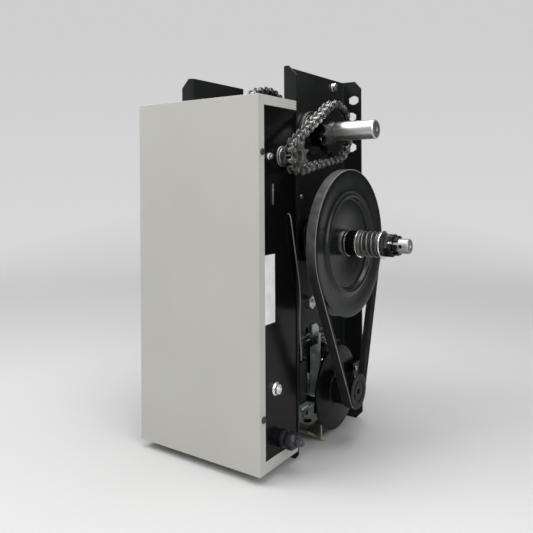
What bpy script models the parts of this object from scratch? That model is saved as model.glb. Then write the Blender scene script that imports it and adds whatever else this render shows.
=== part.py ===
"""Roller shutter motor: a belt and chain driven shutter operator with a disc brake and a limit box.

Lengths below are in millimetres and are turned into metres where a mesh is made.
Design frame: x = 0 midway between the side plates, y = 0 at the wall, z = 0 at the floor.
The front is towards -y and the drive side is +x.
"""

from math import asin, atan2, ceil, cos, hypot, pi, radians, sin, sqrt, tan

import bmesh
import bpy
from mathutils import Matrix, Vector

MM = 0.001
GAP = 0.3            # clearance between pieces that touch on the real object
SIDES = 16           # sides of a small turned piece
LARGE_SIDES = 24     # sides of a large turned piece
RIM_SIDES = 36       # sides of a pulley or disc that shows its rim

# Frame: two folded side plates
FRAME_HEIGHT = 508.0
FRAME_DEPTH = 168.0
FRAME_HALF = 80.0            # from the middle to the outer face of a web
FRAME_SHEET = 3.0
BEND_RADIUS = 3.5
FRONT_FLANGE = 18.0
REAR_FLANGE = 30.0
FLANGE_CORNER = 11.0
FRONT_CORNER = 13.0
FRONT = -FRAME_DEPTH         # the frame's front face
ARCH_HEIGHT = 148.0
ARCH_FRONT_STRIP = 12.0
ARCH_REAR_STRIP = 20.0
ARCH_CORNER = 20.0
ARCH_REAR_CUT = 30.0         # the arch's rear top corner is wide
SLOT_LENGTH = 18.0
SLOT_WIDTH = 13.0
SLOT_SPOTS = ((FRAME_HALF + 18.0, 480.0), (FRAME_HALF + 14.0, 455.0), (FRAME_HALF + 14.0, 409.0))
WEB_HOLE_SPOT = (FRONT + 54.0, ARCH_HEIGHT + 5.0)
HOLE_RADIUS = 4.0
NOTCH_DEPTH = 45.0
NOTCH_HEIGHT = 40.0
TIE_Y = FRONT + 58.0
TIE_HEIGHT = 191.5
TIE_RADIUS = 9.0
TIE_THREAD_RADIUS = 5.0
TIE_NUT_FLATS = 16.0
TIE_NUT_LENGTH = 7.0

# Cover and control box
COVER_HALF = FRAME_HALF + 18.0
COVER_DEPTH = 85.0
COVER_BOTTOM = 11.0
COVER_HEIGHT = 450.0
COVER_SHEET = 1.2
COVER_FRONT_LIP = 12.0
COVER_TOP_LIP = 12.0
COVER_BOTTOM_LIP = 14.0
SCREW_SETBACK = 7.0
BUSH_BOSS_RADIUS = 9.0
BUSH_FLANGE_RADIUS = 13.0
BUSH_FLANGE = 2.7
SCREW_HEIGHTS = (393.0, 77.0)
SCREW_RADIUS = 2.0
SCREW_HEAD_RADIUS = 4.2
SCREW_HEAD = 2.4
BOX_SHEET = 1.5
BOX_BACK_SETBACK = 9.2       # the back panel stands clear of the main sprocket
BOX_RETURN = 17.0

# Cable gland, earth stud and the component plate inside the box
GLAND_SPOT = (FRONT - 35.0, 40.0)
GLAND_RADIUS = 11.7
GLAND_LENGTH = 21.0
GLAND_THREAD_RADIUS = 8.0
GLAND_PLUG_RADIUS = 4.0
GLAND_PLUG_LENGTH = 9.0
EARTH_STUD_SPOT = (FRONT - 50.0, 106.0)
EARTH_STUD_RADIUS = 2.7
EARTH_NUT_FLATS = 13.0
EARTH_STUD_LENGTH = 11.0
PLATE_SHEET = 1.5
PLATE_Y = FRONT - 54.0
PLATE_BOTTOM = 30.0
PLATE_BELOW_SHELF = 3.0
PLATE_TAB = 25.0
BOARD_HALF_WIDTH = FRAME_HALF
BOARD_HEIGHT = 173.0
BOARD_BELOW_PLATE_TOP = 17.0
BOARD_SHEET = 1.6
BOARD_STANDOFF = 6.0
BOARD_INSET = 6.0
RELAY_SPACING = 32.0
RELAY_HALF = 9.0
RELAY_HEIGHT = 28.0
RELAY_DEPTH = 14.0
TERMINAL_DEPTH = 11.0
TERMINAL_HEIGHT = 14.0
CONTACTOR_SPAN = (-62.0, 34.0)
CONTACTOR_HEIGHTS = (30.0, 110.0)      # above the plate's bottom edge
CONTACTOR_DEPTH = 20.0
CONTACTOR_STEP = 6.0
TRANSFORMER_SPAN = (-60.0, -10.0)
TRANSFORMER_HEIGHTS = (36.0, 88.0)     # above the plate's bottom edge
TRANSFORMER_STACK = 34.0
TRANSFORMER_WINDING = 39.0
LEAD_HOLE_SPOT = (FRONT - 19.0, 317.0)
LEAD_RADIUS = 0.9

# Shafts
OUTPUT_SPOT = (FRONT + 64.0, 425.0)
OUTPUT_RADIUS = 12.7
OUTPUT_ENDS = (-FRAME_HALF - 15.0, FRAME_HALF + 100.0)
SHAFT_CHAMFER = 1.5
CLUTCH_RADIUS = 9.5
CLUTCH_ENDS = (-FRAME_HALF - 12.0, FRAME_HALF + 145.0)
LIMIT_RADIUS = 6.35
MOTOR_SPOT = (FRONT + 81.0, 73.5)
LIMIT_SHAFT_RECESS = 4.5      # the limit shaft ends inside its sprocket
MOTOR_SHAFT_RECESS = 6.0     # the motor shaft ends inside its pulley
MOTOR_SHAFT_RADIUS = 7.9
BEARING_FLANGE_RADIUS = 29.5
BEARING_FLANGE = 5.7
BEARING_BOSS_RADIUS = 20.0
BEARING_NOSE = 4.0

# Roller chain, half inch pitch
PITCH = 12.7
ROLLER_RADIUS = 3.95
CHAIN_INSIDE = 7.9
LINK_SHEET = 1.6
LINK_HALF_HEIGHT = 5.9
LINK_WAIST = 4.6
TOOTH_WIDTH = 7.0
GULLET_RADIUS = 4.6
TOOTH_HEIGHT = 3.4
FINE_TEETH = 20               # a larger wheel has plainer tooth gaps
REDUCTION_PLANE = 7.0
OUTPUT_TEETH = 32
PINION_TEETH = 11
REDUCTION_LINKS = 46
LIMIT_PLANE = FRAME_HALF + 39.5
LIMIT_LARGE_TEETH = 18
LIMIT_SMALL_TEETH = 9
LIMIT_LINKS = 30
LIMIT_DIRECTION = atan2(-36.0, -96.7)
LIMIT_HUB_RADIUS = 28.0
LIMIT_HUB_LENGTH = 14.0       # the wide part behind the teeth
LIMIT_HUB_NECK = 20.0         # the radius of the rest
SMALL_HUB_RADIUS = 10.5
OUTPUT_HUB_RADIUS = 26.0
PINION_HUB_RADIUS = 13.0
HUB_LENGTH = 14.0

# Belt drive and clutch
BELT_PLANE = FRAME_HALF + 57.5
PULLEY_RADIUS = 98.0
PULLEY_HALF_WIDTH = 7.25
MOTOR_PULLEY_RADIUS = 24.0
BELT_HALF_WIDTH = 6.4
BELT_INNER_HALF_WIDTH = 4.0
BELT_HEIGHT = 8.0
BELT_DROP = 0.6              # belt back below the pulley rim
GROOVE_DEPTH = 10.0
GROOVE_HALF_WIDTH = 6.9
GROOVE_ROOT_HALF_WIDTH = 4.0
RIDGE_RADIUS = 68.0
RECESS_RADIUS = 61.0
PULLEY_WEB = 3.0
PULLEY_RECESS = 5.45
COLLAR_RADIUS = 17.0
COLLAR_LENGTH = 15.4
WASHER_RADIUS = 18.4
WASHER_SHEET = 2.2
SPRING_LENGTH = 29.7
SPRING_COIL_RADIUS = 15.0
SPRING_WIRE_RADIUS = 2.0
SPRING_TURNS = 5.0
NUT_FLATS = 26.5
NUT_LENGTH = 14.7
CASTLE_RADIUS = 12.8
CASTLE_LENGTH = 6.0
CASTLE_SLOT = 5.0
PIN_HOLE_RADIUS = 2.4
PIN_HOLE_SETBACK = 10.0

# Motor
MOTOR_RADIUS = 62.0
MOTOR_HALF_LENGTH = FRAME_HALF - 18.0
BELL_RADIUS = 66.0
BELL_LENGTH = 16.7
BELL_RIM = 6.0
BELL_HUB_RADIUS = 20.0
VENT_COUNT = 4
VENT_RADIUS = 52.8
VENT_HALF_WIDTH = 2.4
VENT_HALF_ANGLE = 13.0
VENT_START = -111.0
VENT_DEPTH = 7.0
WINDOW_RADIUS = 42.5
WINDOW_HALF = 3.0
WINDOW_START = -118.6
CRADLE_SHEET = 2.5
CRADLE_END = FRAME_HALF + 12.0

# Brake
DISC_RADIUS = 57.0
DISC_SHEET = 3.0
DISC_PLANE = FRAME_HALF + 30.5
DISC_HUB_RADIUS = 21.0
BRACKET_SHEET = 2.5
BRACKET_Y = MOTOR_SPOT[0] - 16.5
BRACKET_HEIGHTS = (62.0, ARCH_HEIGHT + 11.0)
BRACKET_REACH = 15.0
BRACKET_LEG = 18.5
BRACKET_LEG_BOTTOM = 100.0
BRACKET_CORNER = 7.0
BLADE_TOP = ARCH_HEIGHT + 2.0
BRAKE_SHELF_REACH = 20.0
BRAKE_SHELF_FRONT = FRONT + 7.0
WINDOW_BOTTOM = 130.0
SOLENOID_Y = FRONT + 20.0
SOLENOID_X = FRAME_HALF + 8.5
SOLENOID_HALF_DEPTH = 12.8
SOLENOID_HALF_STACK = 4.5
SOLENOID_LEG = 5.0
SOLENOID_HEIGHT = 58.0
COIL_BELOW_LEGS = 3.0
COIL_TOP = BRACKET_HEIGHTS[0] + BRACKET_SHEET + 2 * GAP + SOLENOID_HEIGHT - COIL_BELOW_LEGS
COIL_HALF = 6.2
PLUNGER_HALF = 3.0
PLUNGER_TOP = 136.0
LEVER_SHEET = 3.0
LEVER_HALF_HEIGHT = 4.0
LEVER_FRONT = (SOLENOID_Y - 12.0, 139.0)
LEVER_PIVOT = (MOTOR_SPOT[0] - 1.0, 138.5)
LEVER_FORK = (MOTOR_SPOT[0] + 35.0, 122.0)
LEVER_PIN_RADIUS = 2.5
CALIPER_Y = (MOTOR_SPOT[0] + 35.0, MOTOR_SPOT[0] + 71.0)
CALIPER_HEIGHTS = (66.0, 98.0)
CALIPER_ARM = 7.0
PAD_SHEET = 3.0
PAD_HALF = 8.0
PAD_STEM_RADIUS = 4.0

# Limit switch assembly
NUT_DISC_RADIUS = 18.0
NUT_DISC_LENGTH = 8.0
NUT_DISC_NOTCHES = 12
NUT_DISC_NOTCH = 3.4
NUT_DISC_NOTCH_DEPTH = 4.0
NUT_DISC_REST = 25.0
LIMIT_TRAVEL = 18.0
RETAINER_SHEET = 1.6
RETAINER_HEIGHT = 16.0
SHELF_BELOW_SHAFT = 31.0
SHELF_SHEET = 2.0
SWITCH_SIZE = (24.0, 14.0, 16.0)
SWITCH_CLEARANCE = 2.1
LEVER_BLADE = 1.2
LEVER_RISE = 24.0

WEB_INSIDE = FRAME_HALF - FRAME_SHEET
COVER_FRONT_Y = FRONT - COVER_DEPTH
COVER_TOP = COVER_BOTTOM + COVER_HEIGHT
BOX_SIDE = COVER_HALF - COVER_SHEET - GAP
BOX_BACK_Y = FRONT - GAP - BOX_BACK_SETBACK
ORIGIN = Vector((
    (CLUTCH_ENDS[1] - FRAME_HALF - REAR_FLANGE) / 2,
    COVER_FRONT_Y / 2,
    0.0,
))


def clear_scene():
    for obj in list(bpy.data.objects):
        bpy.data.objects.remove(obj, do_unlink=True)


def new_collection(name):
    collection = bpy.data.collections.new(name)
    bpy.context.scene.collection.children.link(collection)
    return collection


def new_finish(name, colour, roughness, metallic):
    finish = bpy.data.materials.new(name)
    finish.use_nodes = True
    shader = finish.node_tree.nodes["Principled BSDF"]
    shader.inputs["Base Color"].default_value = (*colour, 1.0)
    shader.inputs["Roughness"].default_value = roughness
    shader.inputs["Metallic"].default_value = metallic
    return finish


clear_scene()
PARTS = new_collection("roller_shutter_motor")
CUTTERS = new_collection("cutters")
BLACK = new_finish("black_paint", (0.018, 0.018, 0.02), 0.3, 0.0)
GREY = new_finish("warm_grey_paint", (0.62, 0.6, 0.57), 0.5, 0.0)
ZINC = new_finish("bright_zinc", (0.72, 0.73, 0.72), 0.3, 1.0)
YELLOW_ZINC = new_finish("yellow_zinc", (0.72, 0.68, 0.5), 0.4, 1.0)
STEEL = new_finish("oiled_steel", (0.42, 0.42, 0.42), 0.35, 1.0)
CAST = new_finish("cast_aluminium", (0.6, 0.61, 0.6), 0.5, 1.0)
RUBBER = new_finish("rubber", (0.03, 0.03, 0.03), 0.7, 0.0)
NYLON = new_finish("dark_nylon", (0.05, 0.06, 0.08), 0.45, 0.0)
COPPER = new_finish("wound_coil", (0.1, 0.06, 0.04), 0.5, 0.0)
BOARD = new_finish("circuit_board", (0.03, 0.16, 0.07), 0.5, 0.0)
FRICTION = new_finish("friction_lining", (0.12, 0.1, 0.08), 0.9, 0.0)
LEAD = new_finish("grey_lead", (0.3, 0.3, 0.3), 0.6, 0.0)


# Shape helpers

def add_object(name, data, finish, place=(0.0, 0.0, 0.0)):
    obj = bpy.data.objects.new(name, data)
    PARTS.objects.link(obj)
    obj.location = Vector(place) * MM
    data.materials.clear()
    data.materials.append(finish)
    return obj


def evaluated_mesh(obj):
    """The mesh of an object with its modifiers or its curve bevel, with doubled points welded."""
    bpy.context.view_layer.update()
    graph = bpy.context.evaluated_depsgraph_get()
    mesh = bpy.data.meshes.new_from_object(obj.evaluated_get(graph))
    shape = bmesh.new()
    shape.from_mesh(mesh)
    bmesh.ops.remove_doubles(shape, verts=shape.verts, dist=1e-6)
    shape.to_mesh(mesh)
    shape.free()
    return mesh


def made_solid(obj):
    """Replaces an object by one that holds its evaluated mesh."""
    mesh = evaluated_mesh(obj)
    name = obj.name
    finish = obj.data.materials[0]
    place = obj.matrix_world.copy()
    bpy.data.objects.remove(obj, do_unlink=True)
    solid = add_object(name, mesh, finish)
    solid.name = name
    solid.matrix_world = place
    return solid


def block(name, low, high, finish, bevel=0.0):
    """A box between two corners, with edges rounded by a bevel."""
    low = Vector(low)
    high = Vector(high)
    shape = bmesh.new()
    bmesh.ops.create_cube(shape, size=1.0)
    bmesh.ops.scale(shape, vec=(high - low) * MM, verts=shape.verts)
    mesh = bpy.data.meshes.new(name)
    shape.to_mesh(mesh)
    shape.free()
    obj = add_object(name, mesh, finish, (low + high) / 2)
    if bevel:
        edge = obj.modifiers.new("rounded edges", "BEVEL")
        edge.width = bevel * MM
        edge.segments = 1
    return obj


def turned(name, profile, spot, finish, sides=SIDES, ring=False):
    """Revolves (along, radius) points about the x direction through spot, a (y, z) pair.

    The points run from the high end down the outer side, and a ring's come back up its bore.
    """
    mesh = bpy.data.meshes.new(name)
    points = [(radius * MM, 0.0, along * MM) for along, radius in profile]
    edges = [(i, i + 1) for i in range(len(points) - 1)]
    if ring:
        edges.append((len(points) - 1, 0))
    mesh.from_pydata(points, edges, [])
    obj = add_object(name, mesh, finish, (0.0, *spot))
    obj.rotation_euler = (0.0, pi / 2, 0.0)
    spin = obj.modifiers.new("turning", "SCREW")
    spin.axis = "Z"
    spin.angle = 2 * pi
    spin.steps = sides
    spin.render_steps = sides
    spin.use_merge_vertices = True
    spin.merge_threshold = 1e-6
    return obj


PLANE_TURNS = {
    "x": (0.5, 0.5, 0.5, 0.5),
    "y": (sqrt(0.5), sqrt(0.5), 0.0, 0.0),
    "z": (1.0, 0.0, 0.0, 0.0),
}


def flat(name, loops, low, high, axis, finish, spot=(0.0, 0.0)):
    """A flat outline with holes, from low to high along an axis, as a mesh.

    Loop points are (y, z) for axis x, (x, z) for axis y and (x, y) for axis z, measured from spot.
    """
    curve = bpy.data.curves.new(name, "CURVE")
    curve.dimensions = "2D"
    curve.fill_mode = "BOTH"
    curve.extrude = (high - low) / 2 * MM
    for loop in loops:
        spline = curve.splines.new("POLY")
        spline.points.add(len(loop) - 1)
        spline.use_cyclic_u = True
        for point, (u, v) in zip(spline.points, loop):
            point.co = (u * MM, v * MM, 0.0, 1.0)
    middle = (low + high) / 2
    place = {
        "x": (middle, *spot),
        "y": (spot[0], middle, spot[1]),
        "z": (*spot, middle),
    }[axis]
    obj = add_object(name, curve, finish, place)
    obj.rotation_mode = "QUATERNION"
    obj.rotation_quaternion = PLANE_TURNS[axis]
    return made_solid(obj)


def tube(name, points, radius, finish, resolution=1):
    """A round wire along a list of points."""
    curve = bpy.data.curves.new(name, "CURVE")
    curve.dimensions = "3D"
    curve.bevel_depth = radius * MM
    curve.bevel_resolution = resolution
    curve.use_fill_caps = True
    spline = curve.splines.new("POLY")
    spline.points.add(len(points) - 1)
    start = Vector(points[0])
    for point, place in zip(spline.points, points):
        point.co = (*((Vector(place) - start) * MM), 1.0)
    return add_object(name, curve, finish, start)


def folded(name, path, low, high, sheet, axis, finish):
    """Folded sheet: a bent line drawn out along an axis, x or z, and given its thickness."""
    shape = bmesh.new()
    rows = []
    for along in (low, high):
        row = []
        for u, v in path:
            place = (along, u, v) if axis == "x" else (u, v, along)
            row.append(shape.verts.new(Vector(place) * MM))
        rows.append(row)
    for i in range(len(path) - 1):
        shape.faces.new((rows[0][i], rows[0][i + 1], rows[1][i + 1], rows[1][i]))
    mesh = bpy.data.meshes.new(name)
    shape.to_mesh(mesh)
    shape.free()
    obj = add_object(name, mesh, finish)
    thickness = obj.modifiers.new("sheet", "SOLIDIFY")
    thickness.thickness = sheet * MM
    thickness.offset = 0.0
    thickness.use_even_offset = True
    return obj


def cut(obj, *tools, operation="DIFFERENCE"):
    """Cuts tools out of a piece, or joins them to it, with live modifiers."""
    for tool in tools:
        step = obj.modifiers.new(operation.lower(), "BOOLEAN")
        step.object = tool
        step.operation = operation
        step.solver = "EXACT"
        tool.display_type = "WIRE"
        tool.hide_render = True
        if tool.name in PARTS.objects:
            PARTS.objects.unlink(tool)
            CUTTERS.objects.link(tool)
        TOOLS.setdefault(obj.name, []).append(tool)
    return obj


def join(obj, *tools):
    return cut(obj, *tools, operation="UNION")


TOOLS = {}


# Outline helpers

def circle(radius, sides=SIDES, start=0.0):
    return [
        (radius * cos(start + 2 * pi * i / sides), radius * sin(start + 2 * pi * i / sides))
        for i in range(sides)
    ]


def rectangle(low, high):
    return [(low[0], low[1]), (high[0], low[1]), (high[0], high[1]), (low[0], high[1])]


def obround(length, radius, steps=3):
    """A slot shape along u, with length between the centres of its round ends."""
    points = []
    for end in (1, -1):
        for i in range(steps + 1):
            angle = -end * pi / 2 + pi * i / steps
            points.append((end * length / 2 + radius * cos(angle), radius * sin(angle)))
    return points


def hexagon(flats):
    return circle(flats / 2 / cos(pi / 6), 6, pi / 6)


def rounded(points, radius, steps=2, closed=False):
    """Replaces each corner of a line by an arc."""
    count = len(points)
    result = []
    for i, corner in enumerate(points):
        if not closed and i in (0, count - 1):
            result.append(corner)
            continue
        here = Vector(corner)
        back = (Vector(points[i - 1]) - here).normalized()
        ahead = (Vector(points[(i + 1) % count]) - here).normalized()
        half = back.angle(ahead) / 2
        middle = here + (back + ahead).normalized() * (radius / sin(half))
        start = here + back * (radius / tan(half)) - middle
        sweep = pi - 2 * half
        turn = 1 if back.x * ahead.y - back.y * ahead.x < 0 else -1
        for k in range(steps + 1):
            angle = turn * sweep * k / steps
            result.append((
                middle.x + start.x * cos(angle) - start.y * sin(angle),
                middle.y + start.x * sin(angle) + start.y * cos(angle),
            ))
    return result


# Chain drives

def pitch_radius(teeth):
    return PITCH / 2 / sin(pi / teeth)


def loop_pitches(distance, teeth_a, teeth_b):
    """The length of a chain loop round two sprockets, in pitches, with its wrap angle."""
    lean = asin((pitch_radius(teeth_a) - pitch_radius(teeth_b)) / distance)
    wrap_a = (pi + 2 * lean) * teeth_a / (2 * pi)
    wrap_b = (pi - 2 * lean) * teeth_b / (2 * pi)
    return wrap_a + wrap_b + 2 * distance * cos(lean) / PITCH, lean


def centre_distance(teeth_a, teeth_b, links):
    """The shaft distance at which a chain of that many links just fits."""
    low = pitch_radius(teeth_a) + pitch_radius(teeth_b)
    high = links * PITCH
    for _ in range(60):
        middle = (low + high) / 2
        if loop_pitches(middle, teeth_a, teeth_b)[0] < links:
            low = middle
        else:
            high = middle
    return (low + high) / 2


def loop_place(where, spot_a, spot_b, radius_a, radius_b, spans):
    """The point at a distance round a loop over two wheels, where spans gives its four lengths."""
    span, arc_b, _, arc_a = spans
    offset = Vector(spot_b) - Vector(spot_a)
    heading = atan2(offset.y, offset.x)
    lean = asin((radius_a - radius_b) / offset.length)
    side = pi / 2 - lean

    def rim(spot, radius, angle):
        angle += heading
        return Vector((spot[0] + radius * cos(angle), spot[1] + radius * sin(angle)))

    if where < span:
        return rim(spot_a, radius_a, side).lerp(rim(spot_b, radius_b, side), where / span)
    where -= span
    if where < arc_b:
        return rim(spot_b, radius_b, side - 2 * side * where / arc_b)
    where -= arc_b
    if where < span:
        return rim(spot_b, radius_b, -side).lerp(rim(spot_a, radius_a, -side), where / span)
    where -= span
    return rim(spot_a, radius_a, -side - (2 * pi - 2 * side) * where / arc_a)


def chain_stations(spot_a, spot_b, teeth_a, teeth_b, links):
    """The (y, z) centres of a chain's rollers, seated in both sprockets."""
    distance = (Vector(spot_b) - Vector(spot_a)).length
    total, lean = loop_pitches(distance, teeth_a, teeth_b)
    scale = links / total
    span = distance * cos(lean) / PITCH * scale
    arc_a = (pi + 2 * lean) * teeth_a / (2 * pi) * scale
    arc_b = (pi - 2 * lean) * teeth_b / (2 * pi) * scale
    spans = (span, arc_b, span, arc_a)
    radii = pitch_radius(teeth_a), pitch_radius(teeth_b)
    return [loop_place(i, spot_a, spot_b, *radii, spans) for i in range(links)]


def tooth_phase(stations, spot, teeth):
    """The angle of a tooth gap that lies on a roller of the wrapped stretch."""
    radius = pitch_radius(teeth)
    seated = min(stations, key=lambda p: abs(hypot(p[0] - spot[0], p[1] - spot[1]) - radius))
    return atan2(seated[1] - spot[1], seated[0] - spot[0])


def sprocket_outline(teeth, phase):
    """Round tooth gaps on the pitch circle, with blunt tips between them."""
    radius = pitch_radius(teeth)
    step = 2 * pi / teeth
    swings = (-60, 0, 60) if teeth > FINE_TEETH else (-75, -25, 25, 75)
    outline = []
    for tooth in range(teeth):
        gap = phase + tooth * step
        centre = (radius * cos(gap), radius * sin(gap))
        for swing in swings:
            angle = gap + pi + radians(swing)
            outline.append((
                centre[0] + GULLET_RADIUS * cos(angle),
                centre[1] + GULLET_RADIUS * sin(angle),
            ))
        tip = gap + step / 2
        reach = radius + TOOTH_HEIGHT
        half = 0.9 / reach
        for angle in (tip - half, tip + half):
            outline.append((reach * cos(angle), reach * sin(angle)))
    return ordered_around(outline)


def ordered_around(outline):
    return sorted(outline, key=lambda p: atan2(p[1], p[0]))


def sprocket(name, teeth, phase, plane, spot, bore, hub_radius, hub_end, finish, neck=None):
    """A toothed plate with a hub on one side, running free on its shaft by the clearance.

    neck gives where a longer hub grows narrow, and its radius there."""
    half = TOOTH_WIDTH / 2
    wheel = flat(name, [sprocket_outline(teeth, phase)], plane - half, plane + half, "x", finish, spot)
    high = max(hub_end, plane)
    low = min(hub_end, plane)
    profile = [(high, 0), (high, hub_radius), (low, hub_radius), (low, 0)]
    if neck:
        start, radius = neck
        profile[2:3] = [(start, hub_radius), (start, radius), (low, radius)]
    hub = turned(name + "_hub", profile, spot, finish, LARGE_SIDES)
    reach = (min(low, plane - half) - 2, max(high, plane + half) + 2)
    hole = flat(name + "_bore", [circle(bore + GAP)], *reach, "x", finish, spot)
    join(wheel, hub)
    return cut(wheel, hole)


def link_outline(shrink=0.0, steps=3):
    return obround(PITCH, LINK_HALF_HEIGHT - shrink, steps)


def merged_copies(name, mesh, places):
    """One mesh with a copy of another at each place and turn about x."""
    result = bmesh.new()
    for (y, z), angle in places:
        first = len(result.verts)
        result.from_mesh(mesh)
        result.verts.ensure_lookup_table()
        bmesh.ops.transform(
            result,
            matrix=Matrix.Translation((0.0, y * MM, z * MM)) @ Matrix.Rotation(angle, 4, "X"),
            verts=result.verts[first:],
        )
    copies = bpy.data.meshes.new(name)
    result.to_mesh(copies)
    result.free()
    return copies


def roller_chain(name, stations, plane, spot):
    """A closed roller chain: inner links with their rollers, joined by outer links."""
    inside = CHAIN_INSIDE / 2
    overlap = 0.15
    link = flat(name + "_inner", [link_outline()], inside, inside + LINK_SHEET, "x", STEEL)
    pieces = [flat(name + "_far", [link_outline()], -inside - LINK_SHEET, -inside, "x", STEEL)]
    for end in (-1, 1):
        reach = inside + overlap
        roller = turned(
            f"{name}_roller", [(reach, 0), (reach, ROLLER_RADIUS), (-reach, ROLLER_RADIUS), (-reach, 0)],
            (end * PITCH / 2, 0.0), STEEL, 6,
        )
        pieces.append(roller)
    join(link, *pieces)
    inner_mesh = evaluated_mesh_in_place(link)
    edge = inside + LINK_SHEET
    outer = flat(name + "_outer", [link_outline(0.3)], edge - overlap, edge + LINK_SHEET, "x", STEEL)
    mate = flat(name + "_mate", [link_outline(0.3)], -edge - LINK_SHEET, -edge + overlap, "x", STEEL)
    outer_mesh = evaluated_mesh_in_place(outer)
    mate_mesh = evaluated_mesh_in_place(mate)
    count = len(stations)
    places = []
    for i, here in enumerate(stations):
        ahead = stations[(i + 1) % count]
        middle = (here + ahead) / 2 - Vector(spot)
        places.append((tuple(middle), atan2(ahead.y - here.y, ahead.x - here.x)))
    chain = add_object(name, merged_copies(name, inner_mesh, places[0::2]), STEEL, (plane, *spot))
    outers = merged_copies(name + "_outers", outer_mesh, places[1::2])
    mates = merged_copies(name + "_mates", mate_mesh, places[1::2])
    for mesh in (outers, mates):
        join(chain, add_object(mesh.name, mesh, STEEL, (plane, *spot)))
    for obj in (link, outer, mate, *pieces):
        TOOLS.pop(obj.name, None)
        bpy.data.objects.remove(obj, do_unlink=True)
    return chain


def plate_loop(stations, spot, side):
    """One edge of a run of chain plates: full height at each roller and waisted between them."""
    count = len(stations)
    edge = []
    for i, here in enumerate(stations):
        back = stations[i - 1]
        ahead = stations[(i + 1) % count]
        along = (ahead - back).normalized()
        out = Vector((-along.y, along.x)) * side
        edge.append(tuple(here + out * LINK_HALF_HEIGHT - Vector(spot)))
        along = (ahead - here).normalized()
        out = Vector((-along.y, along.x)) * side
        edge.append(tuple((here + ahead) / 2 + out * LINK_WAIST - Vector(spot)))
    return edge


def plain_chain(name, stations, plane, spot):
    """A closed roller chain whose plates run on in one piece, for the drive inside the frame."""
    inside = CHAIN_INSIDE / 2
    edges = [plate_loop(stations, spot, 1), plate_loop(stations, spot, -1)]
    edge = inside + 2 * LINK_SHEET
    chain = flat(name, edges, plane + inside, plane + edge, "x", STEEL, spot)
    far = flat(name + "_far", edges, plane - edge, plane - inside, "x", STEEL, spot)
    reach = inside + 0.4
    roller = turned(
        name + "_roller", [(reach, 0), (reach, ROLLER_RADIUS), (-reach, ROLLER_RADIUS), (-reach, 0)],
        (0.0, 0.0), STEEL, 6,
    )
    places = [(tuple(here - Vector(spot)), 0.0) for here in stations]
    rollers = merged_copies(name + "_rollers", evaluated_mesh_in_place(roller), places)
    bpy.data.objects.remove(roller, do_unlink=True)
    return join(chain, far, add_object(name + "_rollers", rollers, STEEL, (plane, *spot)))


def evaluated_mesh_in_place(obj):
    """An object's evaluated mesh in world space."""
    mesh = evaluated_mesh(obj)
    mesh.transform(obj.matrix_world)
    return mesh


# Frame

def side_plate(name, side):
    """One folded side plate. side is 1 on the drive side and -1 on the other."""
    middle = FRAME_HALF - FRAME_SHEET / 2
    front = FRONT + FRAME_SHEET / 2
    rear = -FRAME_SHEET / 2
    path = rounded(
        [
            (side * (FRAME_HALF + FRONT_FLANGE), front),
            (side * middle, front),
            (side * middle, rear),
            (side * (FRAME_HALF + REAR_FLANGE), rear),
        ],
        BEND_RADIUS,
    )
    plate = folded(name, path, 0.0, FRAME_HEIGHT, FRAME_SHEET, "z", BLACK)
    web = sorted((side * (FRAME_HALF + 2), side * (WEB_INSIDE - 2)))
    cutters = [flat(
        name + "_arch",
        [rounded([
            (FRONT + ARCH_FRONT_STRIP, -5.0),
            (FRONT + ARCH_FRONT_STRIP, ARCH_HEIGHT),
            (-ARCH_REAR_STRIP - ARCH_REAR_CUT, ARCH_HEIGHT),
            (-ARCH_REAR_STRIP, ARCH_HEIGHT - ARCH_REAR_CUT),
            (-ARCH_REAR_STRIP, -5.0),
        ], ARCH_CORNER, 3)],
        *web, "x", BLACK,
    )]
    for spot in (OUTPUT_SPOT, CLUTCH_SPOT):
        cutters.append(flat(
            name + "_bearing_hole", [circle(BEARING_BOSS_RADIUS + GAP)], *web, "x", BLACK, spot,
        ))
    cutters.append(flat(
        name + "_tie_hole", [circle(TIE_THREAD_RADIUS + GAP, 12)], *web, "x", BLACK, (TIE_Y, TIE_HEIGHT),
    ))
    flange = (-FRAME_SHEET - 2, 2)
    slot = obround(SLOT_LENGTH - SLOT_WIDTH, SLOT_WIDTH / 2)
    for x, height in SLOT_SPOTS:
        if side > 0 or height + SLOT_WIDTH / 2 < FRAME_HEIGHT - NOTCH_HEIGHT:
            cutters.append(flat(name + "_slot", [slot], *flange, "y", BLACK, (side * x, height)))
    cutters.append(flat(name + "_web_hole", [circle(HOLE_RADIUS, 12)], *web, "x", BLACK, WEB_HOLE_SPOT))
    rear_edge = side * (FRAME_HALF + REAR_FLANGE)
    front_edge = side * (FRAME_HALF + FRONT_FLANGE)
    corners = [
        (rear_edge, FRAME_HEIGHT, FLANGE_CORNER, -1, flange),
        (rear_edge, 0.0, FLANGE_CORNER, 1, flange),
        (front_edge, FRAME_HEIGHT, FRONT_CORNER, -1, (FRONT - 2, FRONT + FRAME_SHEET + 2)),
        (front_edge, 0.0, FLANGE_CORNER / 2, 1, (FRONT - 2, FRONT + FRAME_SHEET + 2)),
    ]
    for edge, height, size, upward, across in corners:
        if side < 0 and height and edge == rear_edge:
            continue
        triangle = [
            (-side * size, -upward), (side, -upward), (side, upward * size), (0.0, upward * size),
        ]
        cutters.append(flat(name + "_corner", [triangle], *across, "y", BLACK, (edge, height)))
    if side < 0:
        cutters.append(block(
            name + "_notch",
            (-FRAME_HALF - REAR_FLANGE - 5, -NOTCH_DEPTH, FRAME_HEIGHT - NOTCH_HEIGHT),
            (-WEB_INSIDE + 5, 5, FRAME_HEIGHT + 5), BLACK,
        ))
    return cut(plate, *cutters)


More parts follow.
